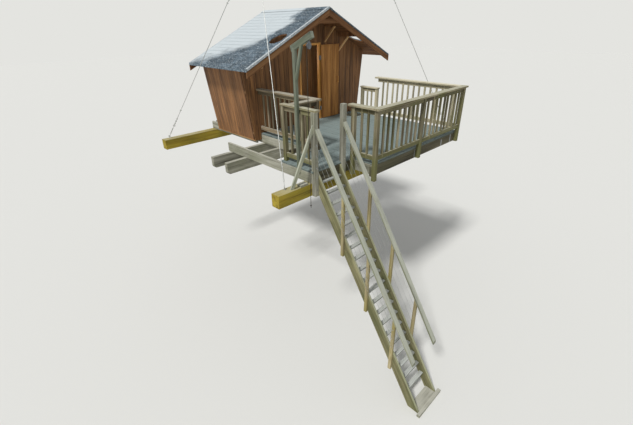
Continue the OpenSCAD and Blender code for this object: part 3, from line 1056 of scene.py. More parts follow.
@dataclass(frozen=True)
class Plan:
    """The main sizes of the tree house in millimetres, as in the part's drawing."""

    half_h: float = 120
    joist_z: float = 120
    deck_u: float = 310
    deck_z: float = 348
    ground_z: float = -3680
    joist_t: float = 45
    opening_x: Pair = (0, 2500)
    opening_y: float = 230
    front_y: float = -2075
    head_y: float = -2120
    left_x: float = -1290
    step_x: float = -400
    step_y: float = -1240
    right_x: float = 2860
    nose_y: float = -2637
    side_x: float = -252
    wall_y: float = 575
    back_y: float = 2235
    far_y: float = 2680
    ridge_x: float = 1220
    cab_l: float = -580
    cab_r: float = 3020
    flare: float = 200
    wall_t: float = 60
    ridge_z: float = 2928
    eave_z: float = 1848
    roof_half: float = 2300
    roof_t: float = 50
    roof_f: float = -90
    roof_b: float = 2290
    skirt_z: float = 198
    door_l: float = 920
    door_r: float = 1520
    door_top: float = 2148
    newel_y: float = -2160
    newel_s: float = 85
    newel_l: float = -1275
    newel_r: float = -572
    str_l: float = -1190
    str_r: float = -612
    string_t: float = 40
    stair_run: float = 2540
    treads: int = 20
    rail_h: float = 1000
    post_s: float = 75
    cap_w: float = 140
    cap_t: float = 35
    pitch_b: float = 155
    hand_up: float = 765

    @property
    def slope(self) -> float:
        """Rise of the roof for each millimetre across."""
        return (self.ridge_z - self.eave_z) / self.roof_half

    @property
    def roof_angle(self) -> float:
        """Angle of the roof to the level, in radians."""
        return math.atan(self.slope)

    @property
    def roof_v(self) -> float:
        """Thickness of the roof, measured upright."""
        return self.roof_t / math.cos(self.roof_angle)

    @property
    def lean(self) -> float:
        """How far the side walls lean out for each millimetre of height."""
        return self.flare / (self.eave_z - self.skirt_z)

    @property
    def steep(self) -> float:
        """Rise of the stair for each millimetre of its run."""
        return (self.deck_z - self.ground_z) / self.stair_run

    @property
    def foot_y(self) -> float:
        """Where the foot of the stair stands."""
        return self.head_y - self.stair_run

    @property
    def rise(self) -> float:
        """Height of one step."""
        return (self.deck_z - self.ground_z) / (self.treads + 2)

    def soffit(self, x: float) -> float:
        """Return the height of the underside of the roof at x."""
        return self.ridge_z - self.roof_v - 0.5 - abs(x - self.ridge_x) * self.slope

    def nose_z(self, y: float) -> float:
        """Return the height of the line over the stair's nosings at y."""
        return self.deck_z + (y - self.head_y) * self.steep


@dataclass
class Assembly:
    """A sub-assembly: it builds its meshes, dresses them and reports them."""

    plan: Plan
    body: str = "house"

    def show(self, name: str, form: Mesh | Sticks, finish: Finish, slot: str, *nodes: str) -> Thing:
        """Make a finished piece.

        Args:
            name: the piece's name.
            form: its mesh in place, or the members that make it.
            finish: its finish.
            slot: not used.
            nodes: the CAD nodes that it stands for.

        Returns:
            The piece.
        """
        mesh = form.mesh() if isinstance(form, Sticks) else form
        mesh.name = name
        mesh.materials.clear()
        mesh.materials.append(finish.material())
        made = holder(mesh, name)
        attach(made, self.body)
        if nodes:
            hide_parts(*nodes)
        LOG.info("%s: %d faces, %s", name, len(mesh.polygons), finish.name)
        return made

    def build(self) -> None:
        """Build all pieces of the sub-assembly."""
        raise NotImplementedError


@dataclass
class BeamFrame(Assembly):
    """The twin beams, the treated beams in front and behind, the joists and their steel."""

    beam_x: Pair = (-1780, 3050)
    beam_t: float = 90
    gap: float = 460
    round_r: float = 60
    treated_t: float = 190
    front_x: Pair = (-2030, 3900)
    rear_x: Pair = (-1950, 3560)
    joist_x: tuple[float, ...] = (220, 760, 1300, 1840, 2190)
    outer_end: float = 620
    bolt_off: float = 60
    washer: Pair = (32, 5)
    nut: Pair = (19, 15)
    strap_at: tuple[Point, ...] = ((1093, 137, 308), (2175, 122, 271), (2571, 128, 308))
    strap_half: float = 16
    block: Point = (161, 110, 38)
    block_x: float = -1532

    def build(self) -> None:
        """Build beams, joists, bolts and the steel on the front rim."""
        self.main_beams()
        self.treated_beams()
        self.joists()
        self.steel()

    def main_beams(self) -> None:
        """Build the twin beams, whose lower corners are rounded at both ends."""
        p, r = self.plan, self.round_r
        low, (x0, x1) = -p.half_h, self.beam_x
        angles = [math.radians(a) for a in range(180, 271, 15)]
        arc = [(r * math.cos(a), r * math.sin(a)) for a in angles]
        left = [(x0 + r + x, low + r + z) for x, z in arc]
        right = [(x1 - r - x, low + r + z) for x, z in reversed(arc)]
        outline = [(x1, p.half_h), (x0, p.half_h), *left, *right]
        wood = Sticks(11)
        for y in (-self.beam_t, self.gap):
            wood.plate([(x, y, z) for x, z in outline], (0, self.beam_t, 0), (1, 0, 0), 0.55)
        self.show("main_beams_sawn", wood, GREY_SPRUCE, "grey_timber", "main_beams")

    def treated_beams(self) -> None:
        """Build the yellow-green beams in front and behind."""
        p = self.plan
        for name, (x0, x1), y0 in (
            ("front_beam", self.front_x, p.front_y),
            ("rear_beam", self.rear_x, p.far_y - self.treated_t),
        ):
            wood = Sticks(len(name))
            section = planed(self.treated_t, 2 * p.half_h, 6)
            y = y0 + self.treated_t / 2
            wood.stick((x0, y, 0), (x1, y, 0), section, tone=0.6)
            self.show(f"{name}_treated", wood, TREATED_PINE, "treated_timber", name)

    def joists(self) -> None:
        """Build joists and rims under the decks and the cabin."""
        p, t = self.plan, self.plan.joist_t
        low, top = p.joist_z, p.deck_u
        wall = p.wall_t + 5
        deck, outer, rims, nose = [Sticks(seed) for seed in (21, 22, 23, 24)]
        for x in (*self.joist_x, p.right_x - t, p.side_x):
            deck.box(x, x + t, p.nose_y + t, p.far_y, low, top)
        deck.box(p.step_x, p.step_x + t, p.front_y, p.far_y, low, top)
        for x in (p.cab_l + wall, p.cab_r - wall - t):
            deck.box(x, x + t, p.wall_y + p.wall_t, p.far_y, low, top)
        outer.box(p.left_x, p.left_x + t, p.front_y, self.outer_end, low, top, 0.75)
        rims.box(p.str_l, p.newel_r, p.head_y, p.front_y, low, top)
        rims.box(p.newel_r + p.newel_s, p.side_x, p.head_y, p.front_y, low, top)
        rims.box(p.left_x + t, p.step_x, p.step_y - t, p.step_y, low, top)
        nose.box(p.side_x - p.post_s, p.right_x, p.nose_y, p.nose_y + t, low, top, 0.5)
        for name, wood, finish, node in (
            ("deck_joists_sawn", deck, GREY_SPRUCE, "deck_joists"),
            ("outer_joist_sawn", outer, GREY_SPRUCE, "outer_joist"),
            # the rims take the brown-black finish of painted shade
            ("rims_sawn", rims, SHADED_RIM_SPRUCE, "cross_joists"),
            ("nose_rim_sawn", nose, SHADED_RIM_SPRUCE, "nose_rim"),
        ):
            self.show(name, wood, finish, "grey_timber", node)

    def steel(self) -> None:
        """Build the through bolts, their washers, the straps on the rim and the brace's block."""
        p = self.plan
        (washer_r, washer_t), (nut_r, nut_h) = self.washer, self.nut
        xs = [x + side for x in p.opening_x for side in (-self.bolt_off, self.bolt_off)]
        parts = []
        for y, way in ((-self.beam_t, -1), (self.gap + self.beam_t, 1)):
            spots = [(x, y + way * washer_t / 2, 0) for x in xs]
            parts.append(heads(spots, (0, way, 0), washer_r, washer_t, 20))
            spots = [(x, y + way * (washer_t + nut_h / 2), 0) for x in xs]
            parts.append(heads(spots, (0, way, 0), nut_r, nut_h, 6))
        self.show("beam_bolts", joined(parts), GALVANISED, "zinc_steel")
        straps, r = Sticks(25), self.strap_half
        for x, z0, z1 in self.strap_at:
            straps.box(x - r, x + r, p.nose_y - 3, p.nose_y - 0.3, z0, z1)
        self.show("rim_straps", straps, GALVANISED, "zinc_steel")
        block, x, y, z = Sticks(26), self.block_x, p.front_y + 2, p.half_h
        long, deep, high = self.block
        block.box(x, x + long, y, y + deep, z, z + high, 0.95)
        self.show("brace_block", block, GREY_SPRUCE, "grey_timber")


@dataclass
class Decks(Assembly):
    """The boards of the entrance deck and of the large deck, with their screws."""

    board: float = 112
    gap: float = 7
    thick: float = 28
    sunk: float = 1.3
    edge: float = 4
    screw_in: float = 28
    screw_sunk: float = 2.2
    clear_r: float = 260
    screw_y: tuple[float, ...] = (-2615, -1900, -1200, -45, 505)
    landing_screw_x: Pair = (-1268, -422)
    landing_run: float = 1100
    landing_boards: int = 23
    large_run: float = 3300
    large_boards: int = 27
    past: float = 20
    screw: Pair = (5.5, 3)
    lobby_screw_x: float = -378

    def boards(self, length: float, axis: int, start: Point, count: int, seed: int) -> Mesh:
        """Lay a field of boards.

        Args:
            length: the length of each board, mm.
            axis: 0 where the boards run along X, 1 along Y.
            start: the lowest corner of the field, mm.
            count: how many boards.
            seed: fixes the chance.

        Returns:
            The field before it is cut to the deck's outline.
        """
        (x, y, z), half, pitch = start, self.board / 2, self.board + self.gap
        if axis == 0:
            a, b, step = (x, y + half, z), (x + length, y + half, z), (0, pitch, 0)
        else:
            a, b, step = (x + half, y, z), (x + half, y + length, z), (pitch, 0, 0)
        wood = Sticks(seed)
        wood.stick(a, b, planed(self.board, self.thick, 3))
        play, twist = (0.8, 0.8, 1), (0, 0, 0.03)
        return row(wood, DECK_SPRUCE, count, step, play=play, twist=twist, seed=seed)

    def build(self) -> None:
        """Build both fields and the screws in them."""
        p = self.plan
        z = p.deck_z - self.thick / 2 - self.sunk
        corner = (p.left_x - self.past, p.head_y + 2, z)
        landing = self.boards(self.landing_run, 0, corner, self.landing_boards, 31)
        corner = (p.side_x + self.edge, p.nose_y - self.past, z)
        large = self.boards(self.large_run, 1, corner, self.large_boards, 32)
        for node, field in (("entrance_deck", landing), ("right_deck", large)):
            self.show(f"{node}_boards", cut_to(field, node), DECK_SPRUCE, "deck_boards", node)
        self.screws()

    def screws(self) -> None:
        """Set two screws where each board crosses a joist, clear of the round openings."""
        p, pitch = self.plan, self.board + self.gap
        z = p.deck_z - self.screw_sunk
        sides = (self.screw_in, self.board - self.screw_in)
        spots = []
        for i in range(self.large_boards - 1):
            for y in self.screw_y:
                for side in sides:
                    x = p.side_x + self.edge + i * pitch + side
                    near = min(math.hypot(x - mid, y - p.opening_y) for mid in p.opening_x)
                    if x <= p.right_x - 10 and near >= self.clear_r:
                        spots.append((x, y, z))
        for i in range(self.landing_boards - 1):
            y = p.head_y + 2 + i * pitch
            on_landing = y < p.step_y - 60
            for x in self.landing_screw_x if on_landing else (self.lobby_screw_x,):
                spots += [(x, y + side, z) for side in sides]
        screws = heads(spots, (0, 0, 1), *self.screw)
        self.show("deck_screws", screws, GALVANISED, "zinc_steel")


@dataclass
class Railings(Assembly):
    """All railings: posts, bottom and top rails, balusters and caps."""

    rail: Pair = (40, 85)
    rail_up: float = 80
    baluster: float = 36
    landing_x: float = -1205
    landing_more: float = 40
    far_x: float = 2780
    middle_x: float = 1167
    low_y: float = -330
    low_h: float = 730
    low_run: float = 410
    corner_down: float = 80
    landing_cap: float = 100
    low_cap: float = 110
    brace: Pair = (36, 60)
    brace_z: float = 1220
    brace_foot: Point = (-1760, -2005, -40)
    clip: Pair = (13, 4)
    clip_z: tuple[float, ...] = (1024, 822, 631, 417, 233, 5)

    def ends(self, place: Matrix, a: float, b: float, up: float) -> list[Vector]:
        """Return two points on a railing's own X, at a height over the deck, in place."""
        z = self.plan.deck_z + up
        return [place @ (Vector((x, 0, z)) * MM) / MM for x in (a, b)]

    def bay(
        self, wood: Sticks, place: Matrix, length: float, top: float, seed: int,
        finish: Finish = RAIL_SPRUCE,
    ) -> Mesh:
        """Build the rails and the balusters of one bay that runs along X from 0.

        Args:
            wood: gets the two rails.
            place: carries the bay to its place.
            length: the clear length of the bay, mm.
            top: the height of the railing, mm.
            seed: fixes the chance.
            finish: the finish of the balusters.

        Returns:
            The balusters, in place.
        """
        p, (thick, deep) = self.plan, self.rail
        under_cap = top - p.cap_t
        for low in (self.rail_up, under_cap - deep):
            a, b = self.ends(place, 0, length, low + deep / 2)
            wood.stick(a, b, planed(thick, deep))
        n = max(1, math.ceil(length / p.pitch_b) - 1)
        gap = length / (n + 1)
        foot, head = p.deck_z + self.rail_up + 20, p.deck_z + under_cap - 2
        one, section = Sticks(seed), planed(self.baluster, self.baluster)
        one.stick((gap, 0, foot), (gap, 0, head), section, ALONG_Y)
        play, twist = (3, 0, 0), (0.05, 0.18, 4)
        mesh = row(one, finish, n, (gap, 0, 0), play=play, twist=twist, seed=seed)
        mesh.transform(place)
        return mesh

    def cap(self, wood: Sticks, place: Matrix, a: float, b: float, top: float, wide: float) -> None:
        """Add the board that caps a railing.

        Args:
            wood: gets the cap.
            place: carries the railing to its place.
            a: where the cap starts along the railing's own X, mm.
            b: where it ends.
            top: the height of the railing, mm.
            wide: the width of the cap, mm.
        """
        thick = self.plan.cap_t
        ends = self.ends(place, a, b, top - thick / 2)
        wood.stick(*ends, planed(wide, thick, 4), tone=0.85)

    def post(self, wood: Sticks, x: float, y: float, z0: float, z1: float) -> None:
        """Add a square post around the point x, y."""
        r = self.plan.post_s / 2
        wood.box(x - r, x + r, y - r, y + r, z0, z1)

    def finish_rail(
        self, name: str, wood: Sticks, bays: Sequence[Mesh], finish: Finish = RAIL_SPRUCE
    ) -> None:
        """Join the members and balusters of a railing, and show it in the node's place."""
        mesh = joined([wood.mesh(), *bays])
        self.show(f"{name}_timber", mesh, finish, "rail_timber", name)

    def build(self) -> None:
        """Build the seven railings, the newels and their brace."""
        self.landing_side()
        self.deck_sides()
        self.newels()

    def landing_side(self) -> None:
        """Build the railings round the entrance deck."""
        p = self.plan
        s, h, top_z = p.post_s, p.rail_h, p.deck_z + p.rail_h - p.cap_t
        line_c, line_l, cross_y = p.step_x + 22, self.landing_x, p.step_y - 50
        wood = Sticks(41)
        place = turned(-90, (line_c, p.wall_y, 0))
        run = p.wall_y - cross_y
        bays = [self.bay(wood, place, run - s / 2, h, 41, BROWN_SPRUCE)]
        self.cap(wood, place, 0, run + p.cap_w / 2, h, p.cap_w)
        self.post(wood, line_c, cross_y, p.deck_z, top_z)
        self.finish_rail("rail_cabin_side", wood, bays, BROWN_SPRUCE)

        wood = Sticks(42)
        start = line_l + s / 2
        place = turned(0, (start, cross_y, 0))
        bays = [self.bay(wood, place, line_c - s / 2 - start, h, 42, BROWN_SPRUCE)]
        self.cap(wood, place, 0, line_c - p.cap_w / 2 - start, h, p.cap_w)
        self.finish_rail("rail_step", wood, bays, BROWN_SPRUCE)

        wood = Sticks(43)
        top, back = h + self.landing_more, cross_y + 10
        place = turned(-90, (line_l, back - s, 0))
        bays = [self.bay(wood, place, back - s - p.front_y, top, 43)]
        place = turned(-90, (line_l, back, 0))
        self.cap(wood, place, -8, back - p.newel_y + 12, top, self.landing_cap)
        self.post(wood, line_l, back - s / 2, p.deck_z, top_z + self.landing_more)
        self.finish_rail("rail_landing", wood, bays)

    def deck_sides(self) -> None:
        """Build the railings of the large deck."""
        p = self.plan
        s, h, top_z = p.post_s, p.rail_h, p.deck_z + p.rail_h - p.cap_t
        line_s, line_f, line_r = p.side_x - s / 2, p.nose_y - s / 2, self.far_x
        short_y, low_y, mid_x = p.head_y - s, self.low_y, self.middle_x
        wood = Sticks(44)
        place = turned(-90, (line_s, short_y, 0))
        bays = [self.bay(wood, place, short_y - p.nose_y, h, 44)]
        self.cap(wood, place, -s - 60, short_y - line_f - p.cap_w / 2, h, p.cap_w)
        self.post(wood, line_s, short_y + s / 2, p.joist_z - self.corner_down, top_z)
        self.finish_rail("rail_short", wood, bays)

        wood = Sticks(45)
        for x, drop in ((line_s, self.corner_down), (mid_x, 0), (line_r, 0)):
            self.post(wood, x, line_f, p.joist_z - drop, top_z)
        bays = []
        for a, b, seed in ((line_s, mid_x, 45), (mid_x, line_r, 46)):
            place = turned(0, (a + s / 2, line_f, 0))
            bays.append(self.bay(wood, place, b - a - s, h, seed))
        place = turned(0, (0, line_f, 0))
        self.cap(wood, place, line_s - p.cap_w / 2, line_r + p.cap_w / 2, h, p.cap_w)
        self.finish_rail("rail_front", wood, bays)

        # the far and the low railing take the lighter copy of the railing finish, painted sunlight
        wood = Sticks(47)
        place = turned(90, (line_r, p.nose_y, 0))
        bays = [self.bay(wood, place, low_y - s / 2 - p.nose_y, h, 47, PALE_SPRUCE)]
        start, end = line_f + p.cap_w / 2 - p.nose_y, low_y + 40 - p.nose_y
        self.cap(wood, place, start, end, h, p.cap_w)
        self.finish_rail("rail_far", wood, bays, PALE_SPRUCE)

        wood = Sticks(48)
        low, run = self.low_h, self.low_run
        place = turned(90, (line_r, low_y + s / 2, 0))
        bays = [self.bay(wood, place, run, low, 48, PALE_SPRUCE)]
        self.cap(wood, place, -s - 10, run + s + 10, low, self.low_cap)
        for y in (low_y, low_y + s + run):
            self.post(wood, line_r, y, p.deck_z, p.deck_z + low - p.cap_t)
        self.finish_rail("rail_low", wood, bays, PALE_SPRUCE)

    def newels(self) -> None:
        """Build the two newels, the brace down to the front beam and the clips on the left one."""
        p = self.plan
        s, top = p.newel_s, p.deck_z + p.rail_h + self.landing_more
        wood = Sticks(49)
        for x, z0, z1, tone in (
            (p.newel_l, -p.half_h, top - p.cap_t, 0.8),
            (p.newel_r, p.joist_z - 40, top, 0.9),
        ):
            wood.box(x, x + s, p.newel_y, p.front_y, z0, z1, tone)
        self.show("newels_planed", wood, GREY_SPRUCE, "rail_timber", "newels")
        wood = Sticks(50)
        a = Vector((p.newel_l + 60, p.front_y - 55, self.brace_z))
        way = (Vector(self.brace_foot) - a).normalized()
        start = a + way * ((p.newel_l - a.x) / way.x)
        end = a + way * ((p.half_h - a.z) / way.z)
        wood.stick(start, end, planed(*self.brace), cut_a=(1, 0, 0), cut_b=(0, 0, 1), tone=1)
        self.show("newel_brace_planed", wood, HAND_SPRUCE, "rail_timber", "newel_brace")
        clips = [(p.newel_l + 45, p.newel_y - 2, z) for z in self.clip_z]
        steel = heads(clips, (0, -1, 0), *self.clip, 12)
        self.show("newel_clips", steel, GALVANISED, "zinc_steel")


@dataclass
class Stair(Assembly):
    """The stair: stringers, grooved treads, posts, handrails, cables and foot."""

    string_half: float = 95
    tread_d: float = 75
    tread_t: float = 34
    tread_back: float = 67
    tread_drop: float = 40
    groove_pitch: float = 19
    groove_deep: float = 4
    post: Pair = (40, 60)
    post_down: float = 440
    post_l: Point = (-2765, -3357, -3978)
    post_r: Point = (-2815, -3385, -3977)
    hand: Pair = (90, 40)
    hand_foot: float = 225
    cable_up: Point = (130, 330, 530)
    cable_out: float = 47
    cable_r: float = 3
    strands: int = 6
    lay: float = 30
    sleeve: Pair = (7, 34)
    staple: Pair = (8, 9)
    hand_out: Pair = (15, 47)
    sill: float = 60
    foot_board: Pair = (200, 34)

    def build(self) -> None:
        """Build the stair from the foot up."""
        self.stringers()
        self.treads()
        self.sides()
        self.cables()

    def stringers(self) -> None:
        """Build both stringers, cut upright at the deck and level below, and the foot boards."""
        p, z = self.plan, self.plan.ground_z
        upright = 2 * self.string_half / math.cos(math.atan(p.steep))
        wood = Sticks(51)
        side = [(p.head_y, p.deck_u), (p.head_y, p.deck_u - upright)]
        side += [(p.foot_y + upright / p.steep, z), (p.foot_y, z)]
        for x in (p.str_l, p.str_r):
            outline = [(x, *corner) for corner in side]
            wood.plate(outline, (p.string_t, 0, 0), (0, 1, p.steep), 0.6)
        self.show("stringers_sawn", wood, STAIR_SPRUCE, "stair_timber", "stringers")
        wood = Sticks(52)
        sill, (deep, board) = self.sill, self.foot_board
        right = p.str_r + p.string_t
        wood.box(p.str_l - sill, right + sill, p.foot_y - sill, p.foot_y, z, z + sill, 0.95)
        left = p.str_l + p.string_t
        wood.box(left, p.str_r, p.foot_y, p.foot_y + deep, z, z + board, 0.4)
        self.show("stair_foot_boards", wood, GREY_SPRUCE, "stair_timber", "stair_foot")

    def treads(self) -> None:
        """Build the treads, grooved along their length against slipping."""
        p, y1, z1 = self.plan, self.tread_d / 2, self.tread_t / 2
        floor = z1 - self.groove_deep
        top = [(y1 - 2, z1)]
        for k in (1, 0, -1):
            y = k * self.groove_pitch
            top += [(y + 4, z1), (y + 3, floor), (y - 3, floor), (y - 4, z1)]
        section = [(y1, z1 - 2), *top, (2 - y1, z1), (-y1, z1 - 2), (-y1, -z1), (y1, -z1)]
        going = p.rise / p.steep
        y = p.head_y - going + self.tread_back + y1
        z = p.deck_z - p.rise - self.tread_drop - z1
        one = Sticks(53)
        one.stick((p.str_l + p.string_t, y, z), (p.str_r, y, z), section)
        step, play = (0, -going, -p.rise), (0, 0.6, 0.6)
        mesh = row(one, TREAD_SPRUCE, p.treads, step, play=play, seed=53)
        for vertex in mesh.vertices:
            vertex.co.y = min(vertex.co.y, (p.head_y - 0.5) * MM)
        self.show("treads_grooved", mesh, TREAD_SPRUCE, "stair_timber", "treads")

    def sides(self) -> None:
        """Build the posts on the stringers and the handrails on them."""
        p = self.plan
        (wide, deep), (thick, high) = self.post, self.hand
        under = p.hand_up - high / math.cos(math.atan(p.steep)) / 2
        right = p.str_r + p.string_t
        wood = Sticks(54)
        for x, ys in ((p.str_l - wide / 2, self.post_l), (right + wide / 2, self.post_r)):
            for y in ys:
                a, b = (x, y, p.nose_z(y) - self.post_down), (x, y, p.nose_z(y) + under)
                wood.stick(a, b, planed(wide, deep), ALONG_Y, cut_b=(0, -p.steep, 1))
        self.show("stair_posts_planed", wood, POST_SPRUCE, "stair_timber", "stair_posts")
        wood = Sticks(55)
        ends = (p.foot_y + self.hand_foot, p.newel_y - 0.5)
        for x in (p.str_l - self.hand_out[0], right + self.hand_out[1]):
            a, b = [(x, y, p.nose_z(y) + p.hand_up) for y in ends]
            wood.stick(a, b, planed(thick, high, 4), cut_a=(0, 1, 0), cut_b=(0, 1, 0), tone=0.7)
        self.show("handrails_planed", wood, HAND_SPRUCE, "rail_timber", "handrails")

    def cables(self) -> None:
        """Build the three thin cables on each side, with their end sleeves and staples."""
        p, out = self.plan, self.cable_out
        parts, staples = [], []
        for x, ys, way in (
            (p.str_l - out, self.post_l, -1),
            (p.str_r + p.string_t + out, self.post_r, 1),
        ):
            for u in self.cable_up:
                path = [(x, y, p.nose_z(y) + u) for y in (p.newel_y - 12, self.post_l[2])]
                parts.append(laid(path, WIRE, self.cable_r, self.strands, self.lay, 12, 12))
                staples += [(x - way * 3, y, p.nose_z(y) + u) for y in ys]
                sleeve = [(x, p.newel_y - 17, p.nose_z(p.newel_y) + u - 8)]
                parts.append(heads(sleeve, (0, 1, 0), *self.sleeve, 12))
        parts.append(heads(staples, (1, 0, 0), *self.staple))
        self.show("stair_cables_wire", joined(parts), WIRE, "wire_rope", "stair_cables")


@dataclass
class Cabin(Assembly):
    """The cabin: floor, leaning boarded and lined walls, and the door frame."""

    board: float = 132
    gap: float = 4
    clad: float = 22
    lining: float = 12
    floor_board: Pair = (95, 26)
    floor_boards: int = 18
    stud_x: tuple[float, ...] = (-470, 100, 480, 838, 1555, 2010, 2440, 2880)
    stud_w: float = 38
    noggin_x: tuple[Pair, Pair] = ((-760, 838), (1593, 3200))
    noggin_z: Point = (373, 1300, 2040)
    jamb_l: float = 45
    jamb_r: float = 68
    head: float = 43

    def field(
        self, base: Floats, along: Vector, step: Vector, length: float, thick: float, count: int,
        seed: int, finish: Finish = STAINED_BOARD,
    ) -> Mesh:
        """Lay upright boards beside each other.

        Args:
            base: the middle of the first board's foot, mm.
            along: the direction of the boards.
            step: the direction from one board to the next.
            length: the length of a board, mm.
            thick: its thickness, mm.
            count: how many boards.
            seed: fixes the chance.
            finish: the finish of the boards.

        Returns:
            The field before it is cut to the wall's outline.
        """
        wood = Sticks(seed)
        a = Vector(base)
        b = a + along.normalized() * length
        normal = step.cross(along).normalized()
        wood.stick(a, b, planed(self.board, thick, 3.5), normal)
        way = step.normalized() * (self.board + self.gap)
        play = tuple(0.9 * abs(c) for c in normal)
        return row(wood, finish, count, tuple(way), play=play, seed=seed)

    def build(self) -> None:
        """Build floor, walls and door frame."""
        self.floor()
        self.gable_walls()
        self.side_walls()
        self.door_frame()

    def floor(self) -> None:
        """Build the floor boards."""
        p, z = self.plan, self.plan.deck_z - 15
        y = p.wall_y + 45
        wood = Sticks(61)
        wood.stick((p.cab_l - 50, y, z), (p.cab_r + 50, y, z), planed(*self.floor_board, 1.5))
        step = (0, self.floor_board[0] + 2, 0)
        count, play = self.floor_boards, (0, 0, 0.5)
        boards = row(wood, BARE_BOARD, count, step, play=play, seed=61)
        mesh = cut_to(boards, "cabin_floor")
        self.show("cabin_floor_boards", mesh, BARE_BOARD, "floor_boards", "cabin_floor")

    def gable_walls(self) -> None:
        """Build the front wall round the doorway, the back wall, their studs and lining."""
        p, clad, length, count = self.plan, self.clad, 2800, 30
        x, z = p.cab_l - 190, p.skirt_z - 10
        base = (x, p.wall_y + clad / 2 + 1, z)
        front = self.field(base, UP, ALONG_X, length, clad, count, 62)
        studs, y = Sticks(63), p.wall_y + clad
        for x0 in self.stud_x:
            studs.box(x0, x0 + self.stud_w, y + 2, p.wall_y + p.wall_t - 1, p.skirt_z + 20, 2900)
        for x0, x1 in self.noggin_x:
            for level in self.noggin_z:
                studs.box(x0, x1, y + 3, p.wall_y + p.wall_t - 4, level - 20, level + 20)
        for name in ("front_wall_left", "front_wall_right", "front_wall_top"):
            self.show(f"{name}_boards", cut_to(front, name), STAINED_BOARD, "stained_boards", name)
        mesh = cut_to(studs.mesh(), "front_wall_left", "front_wall_right")
        self.show("front_wall_studs", mesh, BARE_BOARD, "floor_boards")
        base = (x, p.back_y - clad / 2 - 1, z)
        mesh = cut_to(self.field(base, UP, ALONG_X, length, clad, count, 66), "back_wall")
        self.show("back_wall_boards", mesh, STAINED_BOARD, "stained_boards", "back_wall")
        # the lining breaks joint with the boards outside, so that no slit goes right through
        base = (x - self.board / 2 - 2, p.back_y - p.wall_t + 7, p.deck_z)
        field = self.field(base, UP, ALONG_X, 2600, self.lining, count + 1, 60, LINING)
        self.show("back_wall_lining", cut_to(field, "back_wall"), LINING, "floor_boards")

    def side_walls(self) -> None:
        """Build the two walls that lean outward, with their studs inside."""
        p, length = self.plan, 2100
        half_pitch = Vector((0, (self.board + self.gap) / 2, 0))
        for name, x, sign, seed in (("left_wall", p.cab_l, -1, 64), ("right_wall", p.cab_r, 1, 65)):
            along = Vector((sign * p.lean, 0, 1)).normalized()
            inward = Vector((-sign, 0, -p.lean)).normalized()
            base = Vector((x, p.wall_y + p.wall_t + self.board / 2 + 1, p.skirt_z)) - along * 40
            start = base + inward * (self.clad / 2 + 1.2)
            field = self.field(start, along, ALONG_Y, length, self.clad, 12, seed)
            self.show(f"{name}_boards", cut_to(field, name), STAINED_BOARD, "stained_boards", name)
            start = base + inward * (p.wall_t - 7) - half_pitch
            inner = self.field(start, along, ALONG_Y, length, self.lining, 13, seed + 20, LINING)
            self.show(f"{name}_lining", cut_to(inner, name), LINING, "floor_boards")
            studs = Sticks(seed + 10)
            for y in (p.wall_y + 70, 1150, 1660, p.back_y - 100):
                a = Vector((x, y, p.deck_z + 5)) + inward * (self.clad + 14)
                a.x += sign * p.lean * (p.deck_z - p.skirt_z)
                studs.stick(a, a + along * 1900, planed(self.stud_w, 22), inward)
            self.show(f"{name}_studs", cut_to(studs.mesh(), name), BARE_BOARD, "floor_boards")
        sill, x = Sticks(67), p.cab_l - 13
        sill.box(x, x + 12, p.wall_y + 4, p.back_y, p.skirt_z - 6, p.skirt_z + 16, 1)
        self.show("wall_sill", sill, BARE_BOARD, "floor_boards")

    def door_frame(self) -> None:
        """Build the bright door frame with the stop that the leaf closes on."""
        p, wood = self.plan, Sticks(68)
        y0, y1 = p.wall_y - 6, p.wall_y + p.wall_t + 2
        left, right, foot, top = p.door_l, p.door_r, p.deck_z + 1, p.door_top
        wood.box(left - self.jamb_l, left, y0, y1, foot, top, 0.4)
        wood.box(right, right + self.jamb_r, y0 + 6, y1, foot, top, 0.8)
        over = (left - self.jamb_l, right + self.jamb_r, y0 + 6, y1, top, top + self.head)
        wood.box(*over, 0.5)
        wood.box(left, right, p.wall_y + 40, p.wall_y + 58, top - 14, top, 0.5)
        self.show("door_frame_planed", wood, CEDAR_TRIM, "cedar_trim", "door_frame")


